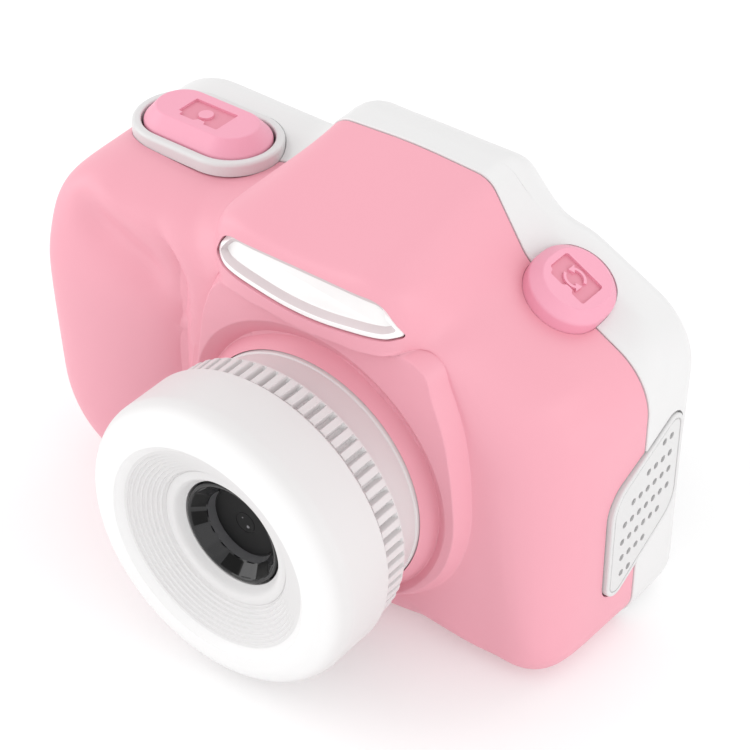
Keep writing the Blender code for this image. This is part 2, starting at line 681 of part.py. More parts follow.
def lens_barrel():
    bore = BEZEL_R + GAP
    socket = SPIGOT_R + GAP
    hollow = BARREL_R - WALL
    edge = arc((BARREL_R - 0.0042, BARREL_FRONT - 0.0042), 0.0042, 90, 0, 4)
    rear = [(BARREL_R, BARREL_REAR), (socket, BARREL_REAR), (socket, 0.0394), (hollow, 0.0394)]
    inside = [(hollow, 0.0442), (0.0195, 0.0468), (0.0172, 0.0463), (0.0125, 0.0429), (0.0104, 0.0416),
              (0.0104, 0.0366), (bore, 0.0366)]
    barrel = turned("lens_barrel", edge + rear + inside + funnel_steps(4)[::-1], 44)
    return finish(barrel, WHITE, 0.35, smooth=28)


def lens_collar():
    rest = RING_REAR - GAP
    profile = [(COLLAR_BORE, 0.0389), (SPIGOT_R, 0.0389), (SPIGOT_R, rest), (COLLAR_R, rest),
               (COLLAR_R, 0.0198), (0.0221, 0.0198), (0.0221, 0.0182), (COLLAR_BORE, 0.0182)]
    return finish(turned("lens_collar", profile, 44), WHITE, 0.4, smooth=28)


def lens_bezel():
    profile = [(0.0082, 0.0430), (BEZEL_R, 0.0428), (BEZEL_R, 0.0375), (0.0050, 0.0375), (0.0050, 0.0396),
               (GLASS_R + GAP, 0.0396), (GLASS_R + GAP, 0.0409), (0.0079, 0.0427)]
    return finish(turned("lens_bezel", profile, 36), BLACK, 0.15, smooth=28)


def lens_glass():
    profile = [(0.0, GLASS_FRONT), (GLASS_R - 0.0002, GLASS_FRONT), (GLASS_R, GLASS_FRONT - 0.0002),
               (GLASS_R, 0.0399), (0.0, 0.0399)]
    return finish(turned("lens_glass", profile, 40), GREY, 0.05, smooth=28)


def focus_ring():
    """The knurled ring: flat-topped ribs with sloped flanks between them."""
    outline = []
    for i in range(RING_RIBS):
        for share, radius in ((-0.26, RING_R), (0.26, RING_R), (0.5, RING_R - 0.0008)):
            angle = 2 * math.pi * (i + share) / RING_RIBS
            outline.append((radius * math.cos(angle), radius * math.sin(angle)))
    ring = slab("focus_ring", [outline, circle(SPIGOT_R + GAP, 36)], RING_REAR, BARREL_REAR - GAP,
                facing("front", case_point(0.0, 0.0, 0.0)))
    move_origin(ring, case_point(0.0, -RING_REAR, 0.0))
    return finish(ring, WHITE, 0.4)


def camera_module():
    module = block("camera_module", (0.0080, 0.0027, 0.0080), case_point(0.0, -0.03585, 0.0))
    rear, front = case_point(0.0, -0.0370, 0.0), case_point(0.0, -0.0393, 0.0)
    tube = rod("module_tube", 0.0034, rear, front, 24, True)
    boolean(module, tube, "UNION")
    return finish(module, BLACK, 0.4, smooth=28)


def ribbon(name, path, width, x):
    """A flat flexible cable along a path of (behind, height) points, as wide as given, centred on x."""
    points = np.array(path)
    run = np.gradient(points, axis=0)
    run /= np.linalg.norm(run, axis=1)[:, None]
    side = np.stack([-run[:, 1], run[:, 0]], axis=1) * 0.00015
    outline = [tuple(p) for p in np.vstack([points + side, (points - side)[::-1]])]
    place = facing("right", case_point(x, 0.0, 0.0))
    return finish(slab(name, [outline], -width / 2, width / 2, place), AMBER, 0.45)


def camera_flex():
    path = [(-0.0342 + 0.0313 * t, -0.0090 * float(step(0.2, 0.9, t))) for t in np.linspace(0.0, 1.0, 9)]
    return ribbon("camera_flex", path, 0.0060, 0.0)


# ---- Flash ---------------------------------------------------------------------------------------
def brow_ring(margin, sunk):
    """A ring of the flash window on the bowed brow, grown by margin and sunk behind the surface."""
    points = []
    for x, height in spread(flash_outline(margin), 44):
        deep = BROW_DEPTH - BROW_BOW * (x / BROW_HALF) ** 8 - FLASH_SUNK - sunk
        points.append(tuple(case_point(x, -deep, height)))
    return points


def flash_window():
    rings = [brow_ring(0.0, 0.0028), brow_ring(0.0, 0.0004), brow_ring(-0.0003, 0.0001),
             brow_ring(-0.0010, 0.0001), brow_ring(-0.0021, 0.0014)]
    return finish(lofted("flash_window", rings, False), WHITE, 0.3, smooth=28)


def flash_led_board():
    board = block("flash_led_board", (0.0260, 0.0008, 0.0050), case_point(0.0, -0.0199, 0.0336))
    for i, x in enumerate((-0.0080, 0.0, 0.0080)):
        led = block(f"led_{i}", (0.0030, 0.0012, 0.0030), case_point(x, -0.0207, 0.0336), True)
        boolean(board, led, "UNION")
    return finish(board, WHITE, 0.5)


# ---- Buttons on the top --------------------------------------------------------------------------
def flat_ring(length, width, height, frame, turn=False):
    """A stadium at a height in a local frame, its long side along local X, or along Y when turned."""
    points = [(y, x) if turn else (x, y) for x, y in stadium(length, width, 9)]
    return [tuple(frame @ Vector((x, y, height))) for x, y in points]


def shutter_frame():
    return Matrix.Translation(case_point(SHUTTER[0], SHUTTER[1], SHOULDER))


def shutter_bezel():
    frame = shutter_frame()
    section = ((0.0262, 0.0162, -0.0003), (0.0262, 0.0162, 0.0014), (0.0256, 0.0156, 0.0019),
               (0.0238, 0.0138, 0.0019), (0.0233, 0.0133, 0.0014), (0.0233, 0.0133, -0.0036),
               (0.0248, 0.0148, -0.0036), (0.0248, 0.0148, -0.0003))
    bezel = lofted("shutter_bezel", [flat_ring(*row, frame) for row in section], True)
    return finish(bezel, WHITE, 0.35, smooth=28)


def camera_mark(width, depth, hub):
    """A plain camera pictogram, its top towards the front, with a round hub left standing in it."""
    w, d = width / 2, depth / 2
    body = [(-w, d), (-w, -0.62 * d), (-0.78 * w, -0.62 * d), (-0.78 * w, -0.9 * d), (-0.1 * w, -0.9 * d),
            (0.05 * w, -0.66 * d), (w, -0.66 * d), (w, d)]
    return [body, circle(hub, 14)]


def button_shell(name, rings, frame, turn):
    """A hollow button: rings from under its top, out over the flange and up to the outer top."""
    rows = [flat_ring(*row, frame, turn) for row in rings]
    return lofted(name, rows, False)


def shutter_button():
    frame = shutter_frame()
    rings = ((0.0168, 0.0069, 0.0025), (0.0209, 0.0110, 0.0008), (0.0209, 0.0110, -0.0052),
             (0.0246, 0.0146, -0.0052), (0.0246, 0.0146, -0.0040), (0.0225, 0.0126, -0.0040),
             (0.0225, 0.0126, 0.0017), (0.0183, 0.0084, 0.0041))
    button = button_shell("shutter_button", rings, frame, False)
    stem_top = case_point(SHUTTER[0], SHUTTER[1], SHOULDER + 0.0031)
    stem_end = case_point(SHUTTER[0], SHUTTER[1], SHOULDER - 0.0095)
    boolean(button, rod("shutter_stem", 0.0015, stem_top, stem_end, 14, True), "UNION")
    mark = camera_mark(0.0076, 0.0046, 0.0010)
    boolean(button, slab("shutter_mark", mark, 0.0038, 0.0060, frame, True))
    move_origin(button, stem_end)
    return finish(button, PINK, 0.45, smooth=28)


def switch_unit(name, frame, height):
    """A push switch on its own small board, at a height in the button's frame, with an open bore."""
    board = slab(name, [rounded_box(0.0120, 0.0076, 0.0008, 2)], height - 0.0008, height, frame)
    housing = [rounded_box(0.0062, 0.0062, 0.0005, 2)]
    body = slab(name + "_body", housing, height - 0.0002, height + 0.0030, frame, True)
    bore = slab(name + "_bore", [circle(0.0019, 16)], height + 0.0006, height + 0.0050, frame, True)
    boolean(board, body, "UNION")
    boolean(board, bore)
    return finish(board, BLACK, 0.5)


def plunger(name, frame, low, high):
    part = slab(name, [circle(0.0016, 16)], low, high, frame)
    move_origin(part, frame @ Vector((0.0, 0.0, low)))
    return finish(part, WHITE, 0.4, smooth=28)


def swap_button():
    frame = swap_frame()
    rings = ((0.0090, 0.0075, 0.0030), (0.0128, 0.0113, 0.0008), (0.0128, 0.0113, -0.0046),
             (0.0160, 0.0145, -0.0046), (0.0160, 0.0145, -0.0036), (0.0145, 0.0130, -0.0036),
             (0.0145, 0.0130, 0.0028), (0.0110, 0.0095, 0.0044))
    button = button_shell("swap_button", rings, frame, True)
    stem_top = frame @ Vector((0, 0, 0.0034))
    stem_end = frame @ Vector((0, 0, -0.0090))
    boolean(button, rod("swap_stem", 0.0015, stem_top, stem_end, 14, True), "UNION")
    mark = camera_mark(0.0062, 0.0046, 0.0013)
    boolean(button, slab("swap_mark", mark, 0.0041, 0.0060, frame, True))
    move_origin(button, stem_end)
    return finish(button, PINK, 0.45, smooth=28)


# ---- Speaker -------------------------------------------------------------------------------------
def grille_holes():
    """Middles of the sound holes, as (distance behind the seam, height)."""
    places = []
    rows = ((2, 0.0056), (4, 0.0036), (6, 0.0018), (7, 0.0008), (6, -0.0005), (4, -0.0022), (2, -0.0039))
    for i, (count, middle) in enumerate(rows):
        height = 0.0077 - 0.00315 * i
        places += [(middle + 0.0019 * (k - (count - 1) / 2), height) for k in range(count)]
    return places


def speaker_grille():
    holes = [circle(0.00058, 6, place) for place in grille_holes()]
    grille = slab("speaker_grille", [grille_outline(-0.0001)] + holes, -0.0018, 0.0006,
                  facing("right", case_point(RIGHT_X, 0.0, 0.0)))
    return finish(grille, WHITE, 0.4)


def speaker_driver():
    basket, magnet_rear, magnet_front, rim, dish_floor, outside = [
        case_point(x, *SPEAKER) for x in (0.0378, 0.0345, 0.0380, 0.0397, 0.0391, 0.0405)]
    frame = rod("speaker_driver", 0.0088, basket, rim, 32)
    magnet = rod("magnet", 0.0060, magnet_rear, magnet_front, 24, True)
    dish = rod("dish", 0.0070, dish_floor, outside, 24, True)
    boolean(frame, magnet, "UNION")
    boolean(frame, dish)
    return finish(frame, STEEL, 0.4, 0.8, smooth=28)


CHIPS = (  # width, height, and place on the main board
    (0.0110, 0.0110, 0.0120, -0.0120),
    (0.0070, 0.0090, -0.0160, -0.0140),
    (0.0060, 0.0050, 0.0240, 0.0080),
)


# ---- Electronics ---------------------------------------------------------------------------------
def main_board():
    outline = [(-0.0520, -0.0080), (-0.0420, -0.0080), (-0.0420, -0.0225), (0.0325, -0.0225),
               (0.0325, 0.0122), (0.0100, 0.0122), (0.0100, 0.0200), (-0.0280, 0.0200),
               (-0.0280, 0.0155), (-0.0520, 0.0155)]
    frame = facing("front", case_point(0.0, 0.0, 0.0))
    board = slab("main_board", [outline], BOARD_Y - BOARD_T, BOARD_Y, frame)
    for i, (wide, tall, x, height) in enumerate(CHIPS):
        chip = block(f"chip_{i}", (wide, 0.0014, tall), case_point(x, -BOARD_Y - 0.0006, height), True)
        boolean(board, chip, "UNION")
    return finish(board, GREEN, 0.4)


def battery():
    cell = slab("battery", [rounded_box(0.0440, 0.0056, 0.0022, 3)], -0.0175, 0.0125,
                Matrix.Translation(case_point(0.0040, 0.0034, 0.0)))
    return finish(cell, STEEL, 0.35, 0.6, smooth=28)


def display_module():
    x, height = DISPLAY
    module = block("display_module", (0.0470, 0.0026, 0.0360), case_point(x, 0.0101, height))
    return finish(module, BLACK, 0.25)


def display_window():
    wide, tall = DISPLAY_SIZE
    outline = rounded_box(wide, tall, 0.0022)
    window = slab("display_window", [outline], -0.0009, -0.0001, rear_frame(*DISPLAY))
    return finish(window, BLACK, 0.05)


def display_flex():
    turn = np.radians(np.linspace(90, -90, 9))
    loop = [(0.0035 + 0.0045 * math.sin(a), -0.0175 - 0.0028 * math.cos(a)) for a in turn]
    path = [(0.0080, -0.0150)] + loop + [(-0.0010, -0.0150)]
    return ribbon("display_flex", path, 0.0100, 0.0060)


def selfie_window():
    window = slab("selfie_window", [circle(0.0040, 28)], -0.0013, 0.0002, rear_frame(*SELFIE))
    return finish(window, BLACK, 0.08, smooth=28)


def selfie_module():
    x, height = SELFIE
    module = block("selfie_module", (0.0070, 0.0030, 0.0070), case_point(x, 0.0085, height))
    front, rear = case_point(x, 0.0095, height), case_point(x, 0.0117, height)
    boolean(module, rod("selfie_tube", 0.0027, front, rear, 20, True), "UNION")
    return finish(module, BLACK, 0.4, smooth=28)


def key_board():
    x, height = KEY_PAD
    board = block("key_board", (0.0236, 0.0010, 0.0270), case_point(x, 0.0071, height + 0.0025))
    for name, (key_x, key_height) in key_places().items():
        dome = rod("dome_" + name, 0.0018, case_point(key_x, 0.0070, key_height),
                   case_point(key_x, 0.00785, key_height), 12, True)
        boolean(board, dome, "UNION")
    return finish(board, GREEN, 0.4)


def key(name):
    x, height = key_places()[name]
    frame = rear_frame(x, height)
    cap = slab(name, [key_outline(name)], -0.0025, 0.0006, frame)
    outer = max(v.co.y for v in cap.data.vertices)
    chamfer_edges(cap, lambda co: co.y > outer - 0.0001, 0.0003)
    flange = slab(name + "_flange", [key_outline(name, 0.0007)], -0.0032, -0.0021, frame, True)
    stem_end, stem_top = frame @ Vector((0, 0, -0.0052)), frame @ Vector((0, 0, -0.0023))
    stem = rod(name + "_stem", 0.0010, stem_end, stem_top, 10, True)
    boolean(cap, flange, "UNION")
    boolean(cap, stem, "UNION")
    move_origin(cap, case_point(x, REAR_DEPTH, height))
    return finish(cap, PINK if name == "key_ok" else WHITE, 0.4)


def usb_socket():
    frame = facing("left", case_point(*USB_MOUTH))
    shell = slab("usb_socket", [rounded_box(0.0032, 0.0090, 0.0015, 3)], -0.0070, 0.0, frame)
    mouth = [rounded_box(0.0026, 0.0084, 0.0012, 3), rounded_box(0.0007, 0.0066, 0.0003, 1)]
    boolean(shell, slab("usb_mouth", mouth, -0.0060, 0.0010, frame, True))
    return finish(shell, STEEL, 0.3, 1.0)


def card_socket():
    frame = facing("left", case_point(*CARD_MOUTH))
    shell = slab("card_socket", [rounded_box(0.0020, 0.0128, 0.0002, 1)], -0.0146, 0.0, frame)
    slot = [rounded_box(0.0014, 0.0116, 0.0001, 1)]
    boolean(shell, slab("card_slot", slot, -0.0140, 0.0010, frame, True))
    return finish(shell, STEEL, 0.35, 1.0)


def memory_card():
    frame = facing("left", case_point(*CARD_MOUTH))
    card = slab("memory_card", [rounded_box(0.0008, 0.0110, 0.0001, 1)], -0.0132, 0.0010, frame)
    move_origin(card, frame @ Vector((0, 0, 0.0010)))
    return finish(card, BLACK, 0.5)


def port_door():
    outline = rounded_box(DOOR[0] - 2 * GAP, DOOR[1] - 2 * GAP, 0.0012)
    door = slab("port_door", [outline], -0.0017, 0.0, door_frame())
    move_origin(door, door_hinge())
    return finish(door, PINK, 0.6)


def door_hinge():
    """The door turns about the outer corner of its front edge."""
    return case_point(LEFT_X, DOOR_PLACE[0] - DOOR[0] / 2 + GAP, DOOR_PLACE[1])


def cables():
    """The wires from the battery and from the speaker to the main board."""
    battery_path = [(0.0270, 0.0034, 0.0100), (0.0310, 0.0034, 0.0110), (0.0335, 0.0020, 0.0120),
                    (0.0338, -0.0010, 0.0125), (0.0338, -0.0045, 0.0120), (0.0320, -0.0060, 0.0110),
                    (0.0300, -0.0052, 0.0110), (0.0290, -0.0036, 0.0110)]
    speaker_path = [(0.0338, 0.0006, -0.0060), (0.0332, -0.0010, -0.0075), (0.0338, -0.0040, -0.0090),
                    (0.0325, -0.0058, -0.0100), (0.0300, -0.0052, -0.0104), (0.0285, -0.0036, -0.0104)]
    for name, path, colour in (("battery_cable", battery_path, (0.5, 0.02, 0.02, 1.0)),
                               ("speaker_cable", speaker_path, (0.03, 0.03, 0.03, 1.0))):
        finish(wire(name, [case_point(*p) for p in path], 0.0005), colour, 0.5, smooth=40)


def microphone():
    x, height = MICROPHONE
    rear = case_point(x, -BOARD_Y - GAP, height)
    can = rod("microphone", 0.0020, rear, case_point(x, -0.0045, height), 20)
    return finish(can, STEEL, 0.3, 1.0, smooth=28)


def case_screw(index):
    x, height = SCREWS[index]
    profile = [(0.0, -0.0010), (0.0006, -0.0010), (0.00085, -0.0018), (0.00085, -0.0115),
               (0.0017, -0.0115), (0.0018, -0.0124), (0.0015, -0.0128), (0.0, -0.0128)]
    screw = turned(f"case_screw_{index + 1}", profile, 14, case_point(x, 0.0, height))
    return finish(screw, STEEL, 0.3, 1.0, smooth=28)


# ---- Assembly ------------------------------------------------------------------------------------
clear_scene()
PARTS = new_collection("kids_digital_camera")
CUTTERS = new_collection("cutters")


def build():
    shared = shared_cutters()
    front_cover(shared)
    rear_cover(shared)
    for make in (lens_barrel, focus_ring, lens_collar, lens_bezel, lens_glass, camera_module, camera_flex,
                 flash_window, flash_led_board, shutter_bezel, shutter_button, swap_button, speaker_grille,
                 speaker_driver, main_board, battery, display_module, display_window, display_flex,
                 selfie_window, selfie_module, key_board, usb_socket, card_socket, memory_card, port_door,
                 microphone, cables):
        make()
    for name in key_places():
        key(name)
    for index in range(len(SCREWS)):
        case_screw(index)
    switch_unit("shutter_switch", shutter_frame(), -0.0139)
    plunger("shutter_plunger", shutter_frame(), -0.0123, -0.0097)
    switch_unit("swap_switch", swap_frame(), -0.0134)
    plunger("swap_plunger", swap_frame(), -0.0118, -0.0092)


build()
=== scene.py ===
import contextlib
import json
import math

import bmesh
import bpy
import numpy as np
from mathutils import Matrix, Vector


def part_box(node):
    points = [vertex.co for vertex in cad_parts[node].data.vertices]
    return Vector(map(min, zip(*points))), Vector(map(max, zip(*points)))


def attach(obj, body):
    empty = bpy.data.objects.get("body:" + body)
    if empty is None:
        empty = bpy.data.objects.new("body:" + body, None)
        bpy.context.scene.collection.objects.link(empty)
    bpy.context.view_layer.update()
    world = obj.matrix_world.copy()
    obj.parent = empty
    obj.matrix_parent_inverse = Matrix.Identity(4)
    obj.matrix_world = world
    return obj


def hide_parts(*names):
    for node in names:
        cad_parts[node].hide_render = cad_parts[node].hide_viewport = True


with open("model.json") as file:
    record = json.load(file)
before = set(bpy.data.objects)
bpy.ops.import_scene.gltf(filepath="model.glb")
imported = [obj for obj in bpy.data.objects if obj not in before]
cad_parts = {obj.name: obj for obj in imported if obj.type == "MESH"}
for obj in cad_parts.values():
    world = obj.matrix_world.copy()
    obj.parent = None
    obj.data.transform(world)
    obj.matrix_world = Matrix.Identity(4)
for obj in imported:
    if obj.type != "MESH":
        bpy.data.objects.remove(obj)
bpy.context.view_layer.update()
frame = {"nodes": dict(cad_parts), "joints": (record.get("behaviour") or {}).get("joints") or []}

# ---- Places, read from the CAD ----
GAP = 0.0003
WALL = 0.0018
BUTTON_PROUD = 0.0019  # the shutter ring's top over the shoulder
SWAP_RISE = 0.0105  # from the swap switch's plunger up to the shoulder
FUNNEL_R = 0.0166  # the mouth of the lens funnel
FUNNEL_STEPS = 8
RING_BORE = 0.0193  # the knurled ring's inner radius
RING_CREST = 0.02255  # the knurled ring's outer radius, without the ribs
FACET_TURN = 0.12  # how far the facets of the black ring are turned, in radians
FLASH_SUNK = 0.0003  # the flash lip behind the brow
FLASH_FLOOR = 0.00125  # the flash floor behind its lip


def box(node):
    low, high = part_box(node)
    return Vector(low), Vector(high)


def middle(node):
    low, high = box(node)
    return (low + high) / 2


def joint_axis(name):
    return next(Vector(joint["axis"]) for joint in frame["joints"] if joint["name"] == name)


LENS_Z = middle("lens_barrel").z
SEAM_Y = box("rear_cover")[0].y - GAP
LEFT_X = box("front_cover")[0].x
RIGHT_X = box("speaker_grille")[1].x - 0.0006
HUMP = box("front_cover")[1].z - LENS_Z
BARREL_FRONT = SEAM_Y - box("lens_barrel")[0].y
BARREL_REAR = SEAM_Y - box("lens_barrel")[1].y
BARREL_R = (box("lens_barrel")[1].x - box("lens_barrel")[0].x) / 2
RING_REAR = SEAM_Y - box("focus_ring")[1].y
RING_FRONT = SEAM_Y - box("focus_ring")[0].y
REAR_DEPTH = box("rear_cover")[1].y - SEAM_Y
SHUTTER = middle("shutter_bezel")
SHUTTER.z = box("shutter_bezel")[1].z - BUTTON_PROUD
SWAP_UP = -joint_axis("swap_button_press")
SWAP = middle("swap_plunger") + SWAP_RISE * SWAP_UP
SWAP_TILT = math.atan2(SWAP_UP.x, SWAP_UP.z)

# ---- Form of the case ----
AROUND = 336
FACE_DEPTH = 0.0218
GRIP_HEIGHT = 0.0037
GRIP_VALLEY = -0.0282
GRIP_CREASE = -0.0314
DENT_DEPTH = 0.0016
VALLEY_DEPTH = 0.0006
BROW_DEPTH = 0.0266
BROW_HALF = 0.0165
BROW_BOW = 0.0019
BROW_SOFT = 0.0012
REAR_PROUD = 0.00025
RECESS_FLOOR_R = 0.0221
RECESS_FLOOR_DEPTH = 0.0225
LENS_HOLE_R = 0.02038
MOUTH_DEPTH = 0.0250
REAR_SWELL = 0.0070
WALL_ROWS, BEND_ROWS, FACE_ROWS, RELAX_PASSES = 4, 6, 5, 6
SEAM = (
    (RIGHT_X, -LENS_Z, 0.0060),
    (RIGHT_X, 0.0212, 0.0110),
    (0.0205, 0.0330, 0.0080),
    (0.0134, 0.0440, 0.0042),
    (0.0, HUMP, 0.0900),
    (-0.0134, 0.0440, 0.0042),
    (-0.0228, 0.0315, 0.0080),
    (LEFT_X, 0.0326, 0.0095),
    (LEFT_X, -LENS_Z, 0.0190),
)
REAR_OUTLINE = (
    (RIGHT_X, -LENS_Z, 0.0060),
    (RIGHT_X, 0.0240, 0.0120),
    (0.0205, 0.0352, 0.0080),
    (0.0134, 0.0440, 0.0042),
    (0.0, HUMP, 0.0900),
    (-0.0134, 0.0440, 0.0042),
    (-0.0228, 0.0334, 0.0080),
    (LEFT_X, 0.0334, 0.0095),
    (LEFT_X, -LENS_Z, 0.0190),
)
WALL_LEAN = ((0, 0.0002), (24, 0.0008), (45, 0.0016), (58, 0.0008), (66, 0.0), (74, 0.0036),
             (90, 0.0052), (106, 0.0036), (114, 0.0), (124, 0.0006), (142, 0.0006), (155, 0.0004),
             (168, 0.0002), (196, 0.0002), (215, 0.0030), (240, 0.0008), (300, 0.0008), (322, 0.0006),
             (345, 0.0002))
FRONT_ROUND = ((0, 0.0105), (30, 0.0120), (46, 0.0125), (57, 0.0105), (65, 0.0050), (74, 0.0030),
               (90, 0.0024), (106, 0.0030), (115, 0.0050), (125, 0.0100), (138, 0.0100), (150, 0.0060),
               (165, 0.0062), (190, 0.0080), (215, 0.0105), (245, 0.0070), (300, 0.0066), (325, 0.0062),
               (345, 0.0090))
REAR_BEND = ((0, 0.0042), (30, 0.0034), (52, 0.0036), (66, 0.0080), (90, 0.0100), (114, 0.0080),
             (128, 0.0042), (150, 0.0042), (270, 0.0042))
PANEL_RADIUS = ((-90, 0.0233), (-60, 0.0237), (-40, 0.0249), (-22, 0.0260), (-8, 0.0266), (12, 0.0276),
                (25, 0.0292), (36, 0.0314), (47, 0.0338), (53, 0.0356), (58, 0.0350), (64, 0.0317),
                (73, 0.0289), (90, 0.0270), (106, 0.0287), (117, 0.0315), (123, 0.0325), (134, 0.0302),
                (146, 0.0271), (158, 0.0254), (180, 0.0247), (225, 0.0238))
PANEL_STEP = ((0, 0.0014), (45, 0.0014), (60, 0.0010), (90, 0.0009), (120, 0.0010), (135, 0.0013),
              (180, 0.0006), (270, 0.0002), (330, 0.0011))


def case_point(x, behind, height):
    return Vector((x, SEAM_Y + behind, LENS_Z + height))


def arc(centre, radius, start, end, steps):
    angles = np.radians(np.linspace(start, end, steps + 1))
    return [(centre[0] + radius * math.cos(a), centre[1] + radius * math.sin(a)) for a in angles]


def circle(radius, steps, centre=(0.0, 0.0)):
    return arc(centre, radius, 0.0, 360.0, steps)[:-1]


def rounded_box(width, height, radius, steps=6, centre=(0.0, 0.0)):
    points = []
    for quarter in range(4):
        across = 1 if quarter in (0, 3) else -1
        up = 1 if quarter in (0, 1) else -1
        corner = (centre[0] + across * (width / 2 - radius), centre[1] + up * (height / 2 - radius))
        points += arc(corner, radius, 90 * quarter, 90 * quarter + 90, steps)
    return points


def turned(points, degrees):
    c, s = math.cos(math.radians(degrees)), math.sin(math.radians(degrees))
    return [(c * x - s * y, s * x + c * y) for x, y in points]


def stadium(length, width, steps=24):
    half = (length - width) / 2
    right = arc((half, 0.0), width / 2, -90, 90, steps)
    return right + arc((-half, 0.0), width / 2, 90, 270, steps)


def filleted(corners, steps=8, closed=True):
    """A line through corners (x, y, radius) with each corner rounded by an arc."""
    points = []
    count = len(corners)
    for i, (x, y, radius) in enumerate(corners):
        if not closed and i in (0, count - 1):
            points.append((x, y))
            continue
        here = np.array((x, y))
        back = np.array(corners[i - 1][:2]) - here
        ahead = np.array(corners[(i + 1) % count][:2]) - here
        back = back / np.linalg.norm(back)
        ahead = ahead / np.linalg.norm(ahead)
        half = math.acos(float(np.clip(back @ ahead, -1.0, 1.0))) / 2
        if radius <= 0 or half > math.radians(88):
            points.append((x, y))
            continue
        run = radius / math.tan(half)
        centre = here + (back + ahead) / np.linalg.norm(back + ahead) * radius / math.sin(half)
        first = here + back * run - centre
        last = here + ahead * run - centre
        for t in np.linspace(0.0, 1.0, steps + 1):
            spoke = first * (1 - t) + last * t
            points.append(tuple(centre + spoke / np.linalg.norm(spoke) * radius))
    return points


def spread(outline, count):
    """The same closed outline with its points spaced evenly."""
    closed = np.array(outline + outline[:1])
    run = np.concatenate([[0.0], np.cumsum(np.linalg.norm(np.diff(closed, axis=0), axis=1))])
    at = np.linspace(0.0, run[-1], count, endpoint=False)
    return np.stack([np.interp(at, run, closed[:, k]) for k in (0, 1)], axis=1)


def step(low, high, value):
    t = np.clip((value - low) / (high - low), 0.0, 1.0)
    return t * t * (3 - 2 * t)


def by_angle(keys, angle):
    """Reads a smooth closed curve given by (degrees, value) keys."""
    degrees = np.array([k[0] for k in keys] + [keys[0][0] + 360.0])
    values = np.array([k[1] for k in keys] + [keys[0][1]])
    turn = (np.degrees(angle) - degrees[0]) % 360.0 + degrees[0]
    i = np.clip(np.searchsorted(degrees, turn, side="right") - 1, 0, len(keys) - 1)
    slopes = np.diff(values) / np.diff(degrees)
    before = np.roll(slopes, 1)
    same = before * slopes > 0
    tangent = np.where(same, 2 * before * slopes / np.where(same, before + slopes, 1.0), 0.0)
    tangent = np.append(tangent, tangent[0])
    width = degrees[i + 1] - degrees[i]
    t = (turn - degrees[i]) / width
    rise = (2 * t**3 - 3 * t**2 + 1) * values[i] + (3 * t**2 - 2 * t**3) * values[i + 1]
    lean = (t**3 - 2 * t**2 + t) * tangent[i] + (t**3 - t**2) * tangent[i + 1]
    return rise + lean * width


def case_angles():
    outline = spread(filleted(SEAM, 24), AROUND)
    return np.hypot(outline[:, 0], outline[:, 1]), np.arctan2(outline[:, 1], outline[:, 0])


def rear_radius(angle):
    outline = spread(filleted(REAR_OUTLINE, 24), 1200)
    turn = np.arctan2(outline[:, 1], outline[:, 0])
    order = np.argsort(turn)
    return np.interp(angle, turn[order], np.hypot(*outline[order].T), period=2 * math.pi)


def face_depth(x, z):
    crease = GRIP_CREASE - 0.0050 * step(0.015, 0.031, z)
    grip = GRIP_HEIGHT * step(0.0, 0.0065, crease - x) * (1 - step(0.014, 0.032, z))
    dent = DENT_DEPTH * np.exp(-(((x + 0.0430) / 0.0075) ** 2 + ((z - 0.0220) / 0.0050) ** 2))
    valley = VALLEY_DEPTH * np.exp(-(((x - 0.0300) / 0.0030) ** 2)) * (1 - step(0.016, 0.026, z))
    face = FACE_DEPTH + grip - dent - valley
    brow = BROW_DEPTH - BROW_BOW * (x / BROW_HALF) ** 8 - 0.0080 * (1 - step(0.002, 0.018, z))
    blend = np.clip(0.5 + (brow - face) / (2 * BROW_SOFT), 0.0, 1.0)
    return face * (1 - blend) + brow * blend + BROW_SOFT * blend * (1 - blend)


def panel_depth(x, z):
    return 0.0231 + 0.0016 * step(-0.012, 0.022, z) + 0.012 * x


def recess_edge(angle):
    radius = 0.0245
    for _ in range(6):
        deep = panel_depth(radius * np.cos(angle), radius * np.sin(angle))
        radius = RECESS_FLOOR_R + 1.4 * (deep - RECESS_FLOOR_DEPTH)
    return np.minimum(radius, by_angle(PANEL_RADIUS, angle) - 0.0004)


def flowing_skin(radius, angle):
    """Rows of (radius, depth) from the seam over the wall, the rounding and the face to the panel."""
    panel = by_angle(PANEL_RADIUS, angle)
    room = 0.9 * (radius - panel)
    rise = by_angle(FRONT_ROUND, angle)
    bend = np.maximum(np.minimum(rise, room), 0.0008)
    lean = np.minimum(by_angle(WALL_LEAN, angle), np.maximum(room - bend, 0.0))
    end = radius - lean - bend
    deep = face_depth(end * np.cos(angle), end * np.sin(angle))
    rows = []
    for share in np.linspace(0.0, 1.0, WALL_ROWS + 1):
        rows.append((radius - lean * share, (deep - rise) * share))
    for turn in np.linspace(0.0, math.pi / 2, BEND_ROWS + 1)[1:]:
        rows.append((radius - lean - bend * (1 - math.cos(turn)), deep - rise * (1 - math.sin(turn))))
    for share in np.linspace(0.0, 1.0, FACE_ROWS + 1)[1:]:
        at = end * (1 - share) + panel * share
        rows.append((at, face_depth(at * np.cos(angle), at * np.sin(angle))))
    grid = np.array(rows).transpose(0, 2, 1)
    for _ in range(RELAX_PASSES):
        along = (grid[:-2] + grid[2:]) / 2
        around = (np.roll(grid[1:-1], 1, axis=1) + np.roll(grid[1:-1], -1, axis=1)) / 2
        grid[1:-1] = 0.4 * grid[1:-1] + 0.3 * along + 0.3 * around
    return grid


